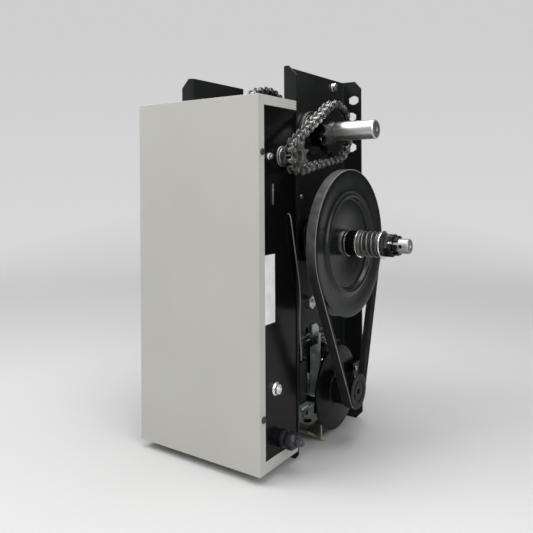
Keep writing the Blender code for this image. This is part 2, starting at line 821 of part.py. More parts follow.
def tie_rod():
    """A shouldered rod between the webs, with a nut outside each."""
    shoulder = WEB_INSIDE - GAP
    nut = FRAME_HALF + GAP
    end = nut + TIE_NUT_LENGTH + 2
    profile = [
        (end, 0), (end, TIE_THREAD_RADIUS), (shoulder, TIE_THREAD_RADIUS), (shoulder, TIE_RADIUS),
        (-shoulder, TIE_RADIUS), (-shoulder, TIE_THREAD_RADIUS), (-end, TIE_THREAD_RADIUS), (-end, 0),
    ]
    spot = (TIE_Y, TIE_HEIGHT)
    rod = turned("tie_rod", profile, spot, ZINC, 12)
    nuts = [
        flat("tie_nut", [hexagon(TIE_NUT_FLATS)], *sorted((side * nut, side * (nut + TIE_NUT_LENGTH))), "x", ZINC, spot)
        for side in (-1, 1)
    ]
    return join(rod, *nuts)


# Cover and control box

def front_cover():
    """The sheet cover: front, top, bottom and narrow side lips round an open side window."""
    shape = bmesh.new()
    bmesh.ops.create_cube(shape, size=1.0)
    size = Vector((2 * COVER_HALF, COVER_DEPTH, COVER_HEIGHT))
    bmesh.ops.scale(shape, vec=size * MM, verts=shape.verts)
    rear = [face for face in shape.faces if face.normal.y > 0.9]
    bmesh.ops.delete(shape, geom=rear, context="FACES_ONLY")
    mesh = bpy.data.meshes.new("front_cover")
    shape.to_mesh(mesh)
    shape.free()
    cover = add_object(
        "front_cover", mesh, GREY,
        (0.0, COVER_FRONT_Y + COVER_DEPTH / 2, COVER_BOTTOM + COVER_HEIGHT / 2),
    )
    sheet = cover.modifiers.new("sheet", "SOLIDIFY")
    sheet.thickness = COVER_SHEET * MM
    sheet.offset = -1.0
    sheet.use_even_offset = True
    window = block(
        "cover_window",
        (-COVER_HALF - 5, COVER_FRONT_Y + COVER_FRONT_LIP, COVER_BOTTOM + COVER_BOTTOM_LIP),
        (COVER_HALF + 5, FRONT + 5, COVER_TOP - COVER_TOP_LIP), GREY,
    )
    slots = []
    for height in SCREW_HEIGHTS:
        half = SCREW_RADIUS + GAP
        slots.append(block(
            "cover_screw_slot",
            (-COVER_HALF - 5, COVER_FRONT_Y + SCREW_SETBACK - half, height - half),
            (COVER_HALF + 5, COVER_FRONT_Y + COVER_FRONT_LIP + 2, height + half), GREY,
        ))
    return cut(cover, window, *slots)


def cover_screw(name, side, height):
    """A panel screw held in the box side, with its head over the cover's open slot."""
    inner = BOX_SIDE - BOX_SHEET - 6
    head = COVER_HALF + GAP
    end = head + SCREW_HEAD
    screw = turned(
        name,
        [
            (end, 0), (end, SCREW_HEAD_RADIUS * 0.7), (end - 0.8, SCREW_HEAD_RADIUS),
            (head, SCREW_HEAD_RADIUS), (head, SCREW_RADIUS), (inner, SCREW_RADIUS), (inner, 0),
        ],
        (COVER_FRONT_Y + SCREW_SETBACK, height), STEEL, 12,
    )
    if side < 0:
        screw.rotation_euler = (0.0, -pi / 2, 0.0)
    return screw


def control_box():
    """The box behind the cover: open front, a back set forward, and sides folded on to the frame."""
    front = COVER_FRONT_Y + COVER_SHEET + GAP
    low = COVER_BOTTOM + COVER_SHEET + GAP
    high = COVER_TOP - COVER_SHEET - GAP
    rear = FRONT - GAP
    shape = bmesh.new()
    bmesh.ops.create_cube(shape, size=1.0)
    size = Vector((2 * BOX_SIDE, BOX_BACK_Y - front, high - low))
    bmesh.ops.scale(shape, vec=size * MM, verts=shape.verts)
    opened = [face for face in shape.faces if face.normal.y < -0.9]
    bmesh.ops.delete(shape, geom=opened, context="FACES_ONLY")
    mesh = bpy.data.meshes.new("control_box")
    shape.to_mesh(mesh)
    shape.free()
    box = add_object("control_box", mesh, BLACK, (0.0, (front + BOX_BACK_Y) / 2, (low + high) / 2))
    sheet = box.modifiers.new("sheet", "SOLIDIFY")
    sheet.thickness = BOX_SHEET * MM
    sheet.offset = -1.0
    sheet.use_even_offset = True
    wings = []
    for side in (-1, 1):
        middle = side * (BOX_SIDE - BOX_SHEET / 2)
        back = rear - BOX_SHEET / 2
        path = [
            (middle, BOX_BACK_Y - BOX_SHEET), (middle, back), (side * (BOX_SIDE - BOX_RETURN), back),
        ]
        wings.append(folded("box_wing", path, low, high, BOX_SHEET, "z", BLACK))
    join(box, *wings)
    wall = (BOX_SIDE - 5, BOX_SIDE + 5)
    holes = []
    for side in (-1, 1):
        reach = sorted((side * wall[0], side * wall[1]))
        holes.append(flat("shaft_hole", [circle(BUSH_BOSS_RADIUS + GAP, 16)], *reach, "x", BLACK, LIMIT_SPOT))
        for height in SCREW_HEIGHTS:
            holes.append(flat(
                "screw_hole", [circle(SCREW_RADIUS + GAP, 12)], *reach, "x", BLACK,
                (COVER_FRONT_Y + SCREW_SETBACK, height),
            ))
    for radius, spot in (
        (GLAND_THREAD_RADIUS, GLAND_SPOT), (EARTH_STUD_RADIUS, EARTH_STUD_SPOT), (LEAD_RADIUS, LEAD_HOLE_SPOT),
    ):
        holes.append(flat("side_hole", [circle(radius + GAP, 12)], *wall, "x", BLACK, spot))
    tab_half = PLATE_SHEET / 2 + GAP
    holes.append(block(
        "tab_slot",
        (wall[0], PLATE_Y - tab_half, PLATE_TOP - PLATE_TAB - GAP),
        (wall[1], PLATE_Y + tab_half, PLATE_TOP + GAP), BLACK,
    ))
    return cut(box, *holes)


def cable_gland():
    """Hexagon body and domed nut on a thread through the box side, closed by a plug."""
    wall = BOX_SIDE - BOX_SHEET
    base = BOX_SIDE + GAP
    end = base + GLAND_LENGTH
    dome = base + GLAND_LENGTH * 0.45
    profile = [
        (end + GLAND_PLUG_LENGTH, 0), (end + GLAND_PLUG_LENGTH, GLAND_PLUG_RADIUS),
        (end, GLAND_PLUG_RADIUS + 0.5), (end, GLAND_RADIUS * 0.6), (end - 4, GLAND_RADIUS * 0.85),
        (dome + 1, GLAND_RADIUS * 0.92), (dome, GLAND_RADIUS * 0.82), (base + 1, GLAND_RADIUS * 0.82),
        (base, GLAND_RADIUS * 0.82), (base, GLAND_THREAD_RADIUS), (wall - 9, GLAND_THREAD_RADIUS), (wall - 9, 0),
    ]
    gland = turned("cable_gland", profile, GLAND_SPOT, NYLON, SIDES)
    body = flat("gland_hexagon", [hexagon(2 * GLAND_RADIUS * cos(pi / 6))], base, base + 6, "x", NYLON, GLAND_SPOT)
    lock = flat("gland_locknut", [hexagon(GLAND_RADIUS * 1.9)], wall - GAP - 4, wall - GAP, "x", NYLON, GLAND_SPOT)
    return join(gland, body, lock)


def earth_stud():
    """A stud through the box side with a nut outside and a thinner one inside."""
    base = BOX_SIDE + GAP
    wall = BOX_SIDE - BOX_SHEET - GAP
    end = base + EARTH_STUD_LENGTH
    stud = turned(
        "earth_stud",
        [(end, 0), (end, EARTH_STUD_RADIUS), (wall - 6, EARTH_STUD_RADIUS), (wall - 6, 0)],
        EARTH_STUD_SPOT, ZINC, 12,
    )
    nut = flat("earth_nut", [hexagon(EARTH_NUT_FLATS)], base, base + 6, "x", ZINC, EARTH_STUD_SPOT)
    inside = flat("earth_locknut", [hexagon(5.2)], wall - 3, wall, "x", ZINC, EARTH_STUD_SPOT)
    return join(stud, nut, inside)


def limit_bushing(name, side):
    """A flanged bush that carries the limit shaft in the box side."""
    face = BOX_SIDE + GAP
    bore = LIMIT_RADIUS + GAP
    profile = [
        (face + BUSH_FLANGE, bore), (face + BUSH_FLANGE, BUSH_FLANGE_RADIUS - 1),
        (face + BUSH_FLANGE - 1, BUSH_FLANGE_RADIUS),
        (face, BUSH_FLANGE_RADIUS), (face, BUSH_BOSS_RADIUS), (face - 6, BUSH_BOSS_RADIUS), (face - 6, bore),
    ]
    bush = turned(name, profile, LIMIT_SPOT, ZINC, SIDES, ring=True)
    if side < 0:
        bush.rotation_euler = (0.0, -pi / 2, 0.0)
    return bush


def component_plate():
    """The zinc plate across the box that carries the electrical parts, with a tab through the side."""
    wall = BOX_SIDE - BOX_SHEET - GAP
    tab = BOX_SIDE + 1.3
    outline = [
        (-wall, PLATE_BOTTOM), (wall, PLATE_BOTTOM), (wall, PLATE_TOP - PLATE_TAB), (tab, PLATE_TOP - PLATE_TAB),
        (tab, PLATE_TOP), (-wall, PLATE_TOP),
    ]
    return flat(
        "component_plate", [outline], PLATE_Y - PLATE_SHEET / 2, PLATE_Y + PLATE_SHEET / 2, "y", ZINC,
    )


def control_board():
    """A circuit board on four pillars, with relays and a row of terminals."""
    face = PLATE_Y - PLATE_SHEET / 2 - GAP
    back = face - BOARD_STANDOFF
    front = back - BOARD_SHEET
    half = BOARD_HALF_WIDTH
    high = PLATE_TOP - BOARD_BELOW_PLATE_TOP
    low = high - BOARD_HEIGHT
    board = block("control_board", (-half, front, low), (half, back, high), BOARD)
    pillars = []
    for x in (-half + BOARD_INSET, half - BOARD_INSET):
        for z in (low + BOARD_INSET, high - BOARD_INSET):
            pillars.append(block("pillar", (x - 3, back - 0.5, z - 3), (x + 3, face, z + 3), BOARD))
    relays = []
    for i in range(4):
        x = (i - 1.5) * RELAY_SPACING - 2.0
        top = high - 40.0
        relays.append(block(
            "relay", (x - RELAY_HALF, front - RELAY_DEPTH, top - RELAY_HEIGHT),
            (x + RELAY_HALF, front + 0.5, top), BOARD,
        ))
    terminals = block(
        "terminals", (-half + 10, front - TERMINAL_DEPTH, low + 8),
        (half - 10, front + 0.5, low + 8 + TERMINAL_HEIGHT), BOARD,
    )
    return join(board, *pillars, *relays, terminals)


def reversing_contactor():
    """A pair of interlocked contactors in one stepped housing."""
    face = PLATE_Y - PLATE_SHEET / 2 - GAP
    left, right = CONTACTOR_SPAN
    low, high = (PLATE_BOTTOM + height for height in CONTACTOR_HEIGHTS)
    front = face - CONTACTOR_DEPTH
    body = block("reversing_contactor", (left, front, low), (right, face, high), NYLON, 1.0)
    step = block(
        "contactor_step", (left + 8, front - CONTACTOR_STEP, low + 18), (right - 8, front + 1, high - 18), NYLON,
    )
    return join(body, step)


def transformer():
    """A small transformer behind the component plate: a stack of laminations and its winding."""
    face = PLATE_Y + PLATE_SHEET / 2 + GAP
    left, right = TRANSFORMER_SPAN
    low, high = (PLATE_BOTTOM + height for height in TRANSFORMER_HEIGHTS)
    stack = block("transformer", (left, face, low), (right, face + TRANSFORMER_STACK, high), STEEL)
    winding = block(
        "transformer_winding", (left + 8, face + 1, low + 10), (right - 8, face + TRANSFORMER_WINDING, high - 10),
        STEEL,
    )
    return join(stack, winding)


def limit_bracket():
    """The shelf on the box back that carries the limit switches."""
    wall = BOX_SIDE - BOX_SHEET - GAP
    back = BOX_BACK_Y - BOX_SHEET - GAP - SHELF_SHEET / 2
    path = [(PLATE_Y - 4.0, SHELF_HEIGHT), (back, SHELF_HEIGHT), (back, SHELF_HEIGHT - 14)]
    return folded("limit_bracket", path, -wall, wall, SHELF_SHEET, "x", ZINC)


def limit_shaft():
    end = LIMIT_PLANE + TOOTH_WIDTH / 2 - LIMIT_SHAFT_RECESS
    low = -BOX_SIDE - 8
    return turned(
        "limit_shaft", [(end, 0), (end, LIMIT_RADIUS), (low, LIMIT_RADIUS), (low, 0)], LIMIT_SPOT, STEEL, SIDES,
    )


def limit_nut(name, x):
    """A notched disc that travels along the limit shaft's thread."""
    outline = []
    half = NUT_DISC_NOTCH / 2
    root = NUT_DISC_RADIUS - NUT_DISC_NOTCH_DEPTH
    for i in range(NUT_DISC_NOTCHES):
        middle = pi / 2 + 2 * pi * i / NUT_DISC_NOTCHES
        for along, across in ((NUT_DISC_RADIUS, -half), (root, -half), (root, half), (NUT_DISC_RADIUS, half)):
            outline.append((
                along * cos(middle) - across * sin(middle), along * sin(middle) + across * cos(middle),
            ))
    return flat(
        name, [outline, circle(LIMIT_RADIUS + GAP)], x - NUT_DISC_LENGTH / 2, x + NUT_DISC_LENGTH / 2,
        "x", ZINC, LIMIT_SPOT,
    )


def nut_retainer():
    """A sprung strip whose edge sits in the top notch of both nuts and keeps them from turning."""
    y, z = LIMIT_SPOT
    low = z + NUT_DISC_RADIUS - NUT_DISC_NOTCH_DEPTH + 0.7
    wall = BOX_SIDE - BOX_SHEET - GAP
    half = RETAINER_SHEET / 2
    return block(
        "nut_retainer", (-wall, y - half, low), (wall, y + half, low + RETAINER_HEIGHT), ZINC,
    )


def limit_switch(name, side):
    """A snap switch on the shelf, outside the nut's travel."""
    reach = NUT_DISC_REST + LIMIT_TRAVEL + NUT_DISC_LENGTH / 2 + SWITCH_CLEARANCE
    x = sorted((side * reach, side * (reach + SWITCH_SIZE[0])))
    y = LIMIT_SPOT[0] - LIMIT_RADIUS - 3
    z = SHELF_HEIGHT + SHELF_SHEET / 2 + GAP
    return block(
        name, (x[0], y - SWITCH_SIZE[1], z), (x[1], y, z + SWITCH_SIZE[2]), NYLON, 0.6,
    )


def switch_lever(name, side):
    """The spring blade above a switch, which the nut meets at the end of its travel."""
    reach, y, z = lever_hinge(side)
    x = sorted((reach, reach - side * LEVER_BLADE))
    return block(name, (x[0], y - 4, z - 0.6), (x[1], y + 4, z + LEVER_RISE), ZINC)


def lever_hinge(side):
    """The lower outer edge of a lever, just above the inner edge of its switch."""
    reach = NUT_DISC_REST + LIMIT_TRAVEL + NUT_DISC_LENGTH / 2 + SWITCH_CLEARANCE - GAP
    top = SHELF_HEIGHT + SHELF_SHEET / 2 + GAP + SWITCH_SIZE[2]
    return (side * reach, LIMIT_SPOT[0] - LIMIT_RADIUS - 9, top + GAP + 0.6)


# Shafts, bearings and sprockets

def output_shaft():
    low, high = OUTPUT_ENDS
    return turned(
        "output_shaft",
        [
            (high - 5, 0), (high, 2.5), (high, OUTPUT_RADIUS - SHAFT_CHAMFER),
            (high - SHAFT_CHAMFER, OUTPUT_RADIUS), (low + SHAFT_CHAMFER, OUTPUT_RADIUS),
            (low, OUTPUT_RADIUS - SHAFT_CHAMFER), (low, 0),
        ],
        OUTPUT_SPOT, ZINC, LARGE_SIDES,
    )


def bearing(name, side, spot, shaft_radius):
    """A flanged bearing housing: boss through the web, round flange and nose outside."""
    face = FRAME_HALF + GAP
    bore = shaft_radius + GAP
    inner = face - FRAME_SHEET - BEARING_NOSE
    nose = face + BEARING_FLANGE + BEARING_NOSE
    profile = [
        (nose, bore), (nose, BEARING_BOSS_RADIUS - 3), (face + BEARING_FLANGE, BEARING_BOSS_RADIUS),
        (face + BEARING_FLANGE, BEARING_FLANGE_RADIUS), (face, BEARING_FLANGE_RADIUS),
        (face, BEARING_BOSS_RADIUS), (inner, BEARING_BOSS_RADIUS), (inner, bore),
    ]
    housing = turned(name, profile, spot, ZINC, SIDES, ring=True)
    if side < 0:
        housing.rotation_euler = (0.0, -pi / 2, 0.0)
    return housing


def clutch_shaft():
    low, high = CLUTCH_ENDS
    shaft = turned(
        "clutch_shaft",
        [
            (high, 0), (high, CLUTCH_RADIUS - SHAFT_CHAMFER), (high - SHAFT_CHAMFER, CLUTCH_RADIUS),
            (low, CLUTCH_RADIUS), (low, 0),
        ],
        CLUTCH_SPOT, ZINC, SIDES,
    )
    hole = flat(
        "cross_hole", [circle(PIN_HOLE_RADIUS, 12)],
        CLUTCH_SPOT[0] - CLUTCH_RADIUS - 3, CLUTCH_SPOT[0] + CLUTCH_RADIUS + 3, "y", ZINC,
        (high - PIN_HOLE_SETBACK, CLUTCH_SPOT[1]),
    )
    return cut(shaft, hole)


def grooved_rim(plane, radius, half):
    """The profile points across a V grooved rim, from its high side to its low side."""
    root = radius - GROOVE_DEPTH
    return [
        (plane + half, radius), (plane + GROOVE_HALF_WIDTH, radius),
        (plane + GROOVE_ROOT_HALF_WIDTH, root), (plane - GROOVE_ROOT_HALF_WIDTH, root),
        (plane - GROOVE_HALF_WIDTH, radius), (plane - half, radius),
    ]


def clutch_pulley():
    """Pressed steel pulley: sloping outer face, raised ridge and a recessed middle."""
    plane = BELT_PLANE
    half = PULLEY_HALF_WIDTH
    bore = CLUTCH_RADIUS + GAP
    face = plane + half
    recess = face - PULLEY_RECESS
    root = PULLEY_RADIUS - GROOVE_DEPTH
    back = recess - PULLEY_WEB
    profile = [
        (recess, bore), (recess, RECESS_RADIUS), (face + 0.8, RECESS_RADIUS + 4),
        (face + 0.8, RIDGE_RADIUS), (face - 1.5, RIDGE_RADIUS + 4),
        *grooved_rim(plane, PULLEY_RADIUS, half),
        (plane - half, root - 4), (back, root - 8), (back, bore),
    ]
    return turned("clutch_pulley", profile, CLUTCH_SPOT, BLACK, RIM_SIDES, ring=True)


def clutch_stack():
    """Collar, washers, spring and castle nut that press the clutch, outward from the pulley."""
    bore = CLUTCH_RADIUS + GAP
    start = BELT_PLANE + PULLEY_HALF_WIDTH - PULLEY_RECESS + GAP
    collar = turned(
        "clutch_collar",
        [
            (start + COLLAR_LENGTH, bore), (start + COLLAR_LENGTH, COLLAR_RADIUS),
            (start + 3, COLLAR_RADIUS), (start + 2, COLLAR_RADIUS - 0.8), (start, COLLAR_RADIUS - 0.8),
            (start, bore),
        ],
        CLUTCH_SPOT, BLACK, LARGE_SIDES, ring=True,
    )
    first = start + COLLAR_LENGTH + GAP
    inner = washer("clutch_washer_inner", first)
    spring_low = first + WASHER_SHEET + GAP
    spring = clutch_spring(spring_low)
    second = spring_low + SPRING_LENGTH + GAP
    outer = washer("clutch_washer_outer", second)
    nut = castle_nut(second + WASHER_SHEET + GAP)
    return [collar, inner, spring, outer, nut]


def washer(name, low):
    high = low + WASHER_SHEET
    bore = CLUTCH_RADIUS + GAP
    return turned(
        name, [(high, bore), (high, WASHER_RADIUS), (low, WASHER_RADIUS), (low, bore)],
        CLUTCH_SPOT, ZINC, LARGE_SIDES, ring=True,
    )


def clutch_spring(low):
    """A compression spring with its two end turns closed."""
    y, z = CLUTCH_SPOT
    steps = 9
    closed = SPRING_WIRE_RADIUS * 2 + 0.2
    rise = SPRING_LENGTH - 2 * SPRING_WIRE_RADIUS
    count = int(SPRING_TURNS * steps)
    points = []
    for i in range(count + 1):
        share = i / count
        angle = 2 * pi * i / steps
        slow = closed / rise
        x = low + SPRING_WIRE_RADIUS + rise * min(max((share - slow * 0.5) / (1 - slow), 0.0), 1.0)
        points.append((x, y + SPRING_COIL_RADIUS * cos(angle), z + SPRING_COIL_RADIUS * sin(angle)))
    return tube("clutch_spring", points, SPRING_WIRE_RADIUS, ZINC, 1)


def castle_nut(low):
    """A hexagon nut with a slotted crown."""
    bore = CLUTCH_RADIUS + GAP
    shoulder = low + NUT_LENGTH
    top = shoulder + CASTLE_LENGTH
    nut = flat("clutch_castle_nut", [hexagon(NUT_FLATS)], low, shoulder, "x", BLACK, CLUTCH_SPOT)
    crown = turned(
        "castle_crown", [(top, 0), (top, CASTLE_RADIUS), (shoulder - 1, CASTLE_RADIUS), (shoulder - 1, 0)],
        CLUTCH_SPOT, BLACK, LARGE_SIDES,
    )
    join(nut, crown)
    cut(nut, flat("castle_bore", [circle(bore, LARGE_SIDES)], low - 2, top + 2, "x", BLACK, CLUTCH_SPOT))
    slots = []
    for i in range(3):
        slot = block(
            "castle_slot", (-CASTLE_LENGTH / 2, -CASTLE_RADIUS - 2, -CASTLE_SLOT / 2),
            (CASTLE_LENGTH / 2, CASTLE_RADIUS + 2, CASTLE_SLOT / 2), BLACK,
        )
        slot.location = Vector((top + 0.5, *CLUTCH_SPOT)) * MM
        slot.rotation_euler = (pi / 3 * i, 0.0, 0.0)
        slots.append(slot)
    return cut(nut, *slots)


def v_belt():
    """The V belt: a wedge section carried round both pulleys."""
    big = PULLEY_RADIUS - BELT_DROP
    small = MOTOR_PULLEY_RADIUS - BELT_DROP
    spot_a = Vector(CLUTCH_SPOT)
    spot_b = Vector(MOTOR_SPOT)
    offset = spot_b - spot_a
    heading = atan2(offset.y, offset.x)
    side = pi / 2 - asin((big - small) / offset.length)
    rings = []
    steps_b = 10
    steps_a = 26
    for i in range(steps_b + 1):
        rings.append((spot_b, small, heading + side - 2 * side * i / steps_b))
    for i in range(steps_a + 1):
        rings.append((spot_a, big, heading - side - (2 * pi - 2 * side) * i / steps_a))
    shape = bmesh.new()
    sections = []
    for spot, radius, angle in rings:
        out = Vector((cos(angle), sin(angle)))
        section = []
        for half, depth in (
            (BELT_HALF_WIDTH, 0.0), (-BELT_HALF_WIDTH, 0.0),
            (-BELT_INNER_HALF_WIDTH, BELT_HEIGHT), (BELT_INNER_HALF_WIDTH, BELT_HEIGHT),
        ):
            place = spot + out * (radius - depth) - spot_a
            section.append(shape.verts.new(Vector((half, place.x, place.y)) * MM))
        sections.append(section)
    for i, here in enumerate(sections):
        ahead = sections[(i + 1) % len(sections)]
        for k in range(4):
            shape.faces.new((here[k], here[(k + 1) % 4], ahead[(k + 1) % 4], ahead[k]))
    bmesh.ops.recalc_face_normals(shape, faces=shape.faces)
    mesh = bpy.data.meshes.new("v_belt")
    shape.to_mesh(mesh)
    shape.free()
    return add_object("v_belt", mesh, RUBBER, (BELT_PLANE, *CLUTCH_SPOT))


# Motor and brake

def motor_pulley():
    plane = BELT_PLANE
    half = PULLEY_HALF_WIDTH
    bore = MOTOR_SHAFT_RADIUS + GAP
    face = plane + half
    profile = [
        (face - 1, bore), (face - 1, 12), (face - 3, 14), (face, 19),
        *grooved_rim(plane, MOTOR_PULLEY_RADIUS, half), (plane - half, bore),
    ]
    return turned("motor_pulley", profile, MOTOR_SPOT, BLACK, LARGE_SIDES, ring=True)


def motor_shaft():
    low = -MOTOR_HALF_LENGTH - BELL_LENGTH - 6
    high = BELT_PLANE + PULLEY_HALF_WIDTH - MOTOR_SHAFT_RECESS
    return turned(
        "motor_shaft",
        [(high, 0), (high, MOTOR_SHAFT_RADIUS), (low, MOTOR_SHAFT_RADIUS), (low, 0)],
        MOTOR_SPOT, STEEL, SIDES,
    )


def brake_disc():
    bore = MOTOR_SHAFT_RADIUS + GAP
    face = DISC_PLANE + DISC_SHEET / 2
    back = DISC_PLANE - DISC_SHEET / 2
    end = BELT_PLANE - PULLEY_HALF_WIDTH - GAP
    profile = [
        (end, bore), (end, DISC_HUB_RADIUS), (face, DISC_HUB_RADIUS), (face, DISC_RADIUS),
        (back, DISC_RADIUS), (back, bore),
    ]
    return turned("brake_disc", profile, MOTOR_SPOT, BLACK, RIM_SIDES, ring=True)


def motor_body():
    half = MOTOR_HALF_LENGTH
    bore = MOTOR_SHAFT_RADIUS + GAP
    profile = [
        (half, bore), (half, MOTOR_RADIUS - 3), (half - 6, MOTOR_RADIUS - 3), (half - 7, MOTOR_RADIUS),
        (-half + 7, MOTOR_RADIUS), (-half + 6, MOTOR_RADIUS - 3), (-half, MOTOR_RADIUS - 3), (-half, bore),
    ]
    return turned("motor_body", profile, MOTOR_SPOT, BLACK, LARGE_SIDES, ring=True)


def vent_outline(angle):
    """A curved vent slot about the motor axis."""
    spread = radians(VENT_HALF_ANGLE)
    outline = []
    for radius, order in ((VENT_RADIUS + VENT_HALF_WIDTH, 1), (VENT_RADIUS - VENT_HALF_WIDTH, -1)):
        for k in (-1, 0, 1):
            turn = angle + order * k * spread
            outline.append((radius * cos(turn), radius * sin(turn)))
    return outline


def window_outline(angle):
    """A square air hole with its sides level, at an angle about the motor axis."""
    y, z = WINDOW_RADIUS * cos(angle), WINDOW_RADIUS * sin(angle)
    half = WINDOW_HALF
    return rectangle((y - half, z - half), (y + half, z + half))


def end_bell(name, side):
    """A cast end bell with vents and a bearing hub."""
    base = MOTOR_HALF_LENGTH + GAP
    face = base + BELL_LENGTH
    bore = MOTOR_SHAFT_RADIUS + GAP
    profile = [
        (face, bore), (face, BELL_HUB_RADIUS), (face - 3, BELL_HUB_RADIUS + 2),
        (face - 3, BELL_RADIUS - 8), (base + BELL_RIM, BELL_RADIUS), (base, BELL_RADIUS), (base, bore),
    ]
    bell = turned(name, profile, MOTOR_SPOT, CAST, LARGE_SIDES, ring=True)
    reach = sorted((side * (face + 2), side * (face - 3 - VENT_DEPTH)))
    vents = []
    for i in range(VENT_COUNT):
        turn = 2 * pi * i / VENT_COUNT
        outlines = (vent_outline(radians(VENT_START) + turn), window_outline(radians(WINDOW_START) + turn))
        for outline in outlines:
            vents.append(flat(name + "_vent", [outline], *reach, "x", CAST, MOTOR_SPOT))
    if side < 0:
        bell.rotation_euler = (0.0, -pi / 2, 0.0)
    return cut(bell, *vents)


def motor_cradle():
    """The folded trough under the motor, with two ears bolted inside the rear strips of the webs."""
    y, _ = MOTOR_SPOT
    sheet = CRADLE_SHEET
    wall = WEB_INSIDE - GAP
    path = rounded([(y - 44, 21.0), (y - 17, 4.0), (y + 17, 4.0), (y + 44, 21.0), (-29.0, 21.0)], 4.0, 2)
    cradle = folded("motor_cradle", path, -wall, CRADLE_END, sheet, "x", YELLOW_ZINC)
    foot = block(
        "cradle_foot", (CRADLE_END - 6, y - 18.2, 2.75), (CRADLE_END + 4, y - 15.8, 24.0), YELLOW_ZINC,
    )
    tail = block("cradle_tail", (-wall, -30.0, 21.0 - sheet / 2), (wall, -5.0, 21.0 + sheet / 2), YELLOW_ZINC)
    ears = []
    for side in (-1, 1):
        x = sorted((side * wall, side * (wall - sheet)))
        ears.append(block("cradle_ear", (x[0], -19.0, 19.9), (x[1], -5.0, 62.0), YELLOW_ZINC))
    return join(cradle, foot, tail, *ears)


def brake_bracket():
    """Angle plate above the motor that carries the solenoid shelf and the lever pin."""
    low, high = BRACKET_HEIGHTS
    web = FRAME_HALF + GAP
    sheet = BRACKET_SHEET
    rear = BRACKET_Y + BRACKET_LEG
    outline = [
        (BRACKET_Y, BRACKET_LEG_BOTTOM), (rear, BRACKET_LEG_BOTTOM), (rear, high - BRACKET_CORNER),
        (rear - BRACKET_CORNER, high), (BRACKET_Y, high),
    ]
    leg = flat("brake_bracket", [outline], web, web + sheet, "x", ZINC)
    blade = block(
        "bracket_blade", (web, BRACKET_Y - sheet, low), (web + BRACKET_REACH, BRACKET_Y + 0.5, BLADE_TOP), ZINC,
    )
    shelf = block(
        "bracket_shelf", (web, BRAKE_SHELF_FRONT, low), (web + BRAKE_SHELF_REACH, BRACKET_Y - 0.5, low + sheet), ZINC,
    )
    pin = turned(
        "lever_pin",
        [
            (SOLENOID_X + 6, 0), (SOLENOID_X + 6, LEVER_PIN_RADIUS), (web + 1, LEVER_PIN_RADIUS),
            (web + 1, 0),
        ],
        LEVER_PIVOT, ZINC, 12,
    )
    join(leg, blade, shelf, pin)
    window = block(
        "lever_window", (SOLENOID_X - 4, BRACKET_Y - sheet - 2, WINDOW_BOTTOM),
        (SOLENOID_X + 4, BRACKET_Y + 2, BLADE_TOP + 5), ZINC,
    )
    return cut(leg, window)


def solenoid_frame():
    """The laminated frame: two legs and a base round the coil."""
    low = BRACKET_HEIGHTS[0] + BRACKET_SHEET + GAP
    high = low + SOLENOID_HEIGHT
    half = SOLENOID_HALF_DEPTH
    inner = half - SOLENOID_LEG
    outline = [
        (-half, low), (half, low), (half, high), (inner, high), (inner, low + SOLENOID_LEG),
        (-inner, low + SOLENOID_LEG), (-inner, high), (-half, high),
    ]
    return flat(
        "solenoid_frame", [outline], SOLENOID_X - SOLENOID_HALF_STACK, SOLENOID_X + SOLENOID_HALF_STACK,
        "x", ZINC, (SOLENOID_Y, 0.0),
    )


def solenoid_coil():
    """The wound coil between the legs, open down its middle for the plunger."""
    low = BRACKET_HEIGHTS[0] + BRACKET_SHEET + GAP + SOLENOID_LEG + GAP
    half = SOLENOID_HALF_DEPTH - SOLENOID_LEG - GAP
    hole = PLUNGER_HALF + GAP
    ring = [rectangle((-COIL_HALF, -half), (COIL_HALF, half)), rectangle((-hole, -hole), (hole, hole))]
    return flat("solenoid_coil", ring, low, COIL_TOP, "z", COPPER, (SOLENOID_X, SOLENOID_Y))


def brake_plunger():
    """The plunger bar, with a fork at its top that holds the lever between two cheeks."""
    low = BRACKET_HEIGHTS[0] + BRACKET_SHEET + SOLENOID_LEG + 16
    half = PLUNGER_HALF
    neck = LEVER_LINE_AT_PLUNGER - LEVER_HALF_HEIGHT - 3
    bar = block(
        "brake_plunger", (SOLENOID_X - half, SOLENOID_Y - half, low), (SOLENOID_X + half, SOLENOID_Y + half, neck), STEEL,
    )
    top = neck + 2 * LEVER_HALF_HEIGHT + 5
    cheeks = []
    for side in (-1, 1):
        inner = LEVER_SHEET / 2 + GAP
        x = sorted((SOLENOID_X + side * inner, SOLENOID_X + side * (inner + 2)))
        cheeks.append(block(
            "plunger_cheek", (x[0], SOLENOID_Y - half, neck - 2), (x[1], SOLENOID_Y + half, top), STEEL,
        ))
    reach = LEVER_SHEET / 2 + GAP + 3.5
    pin = turned(
        "plunger_pin",
        [(SOLENOID_X + reach, 0), (SOLENOID_X + reach, 1.5), (SOLENOID_X - reach, 1.5), (SOLENOID_X - reach, 0)],
        (SOLENOID_Y, LEVER_LINE_AT_PLUNGER), STEEL, 10,
    )
    return join(bar, *cheeks, pin)


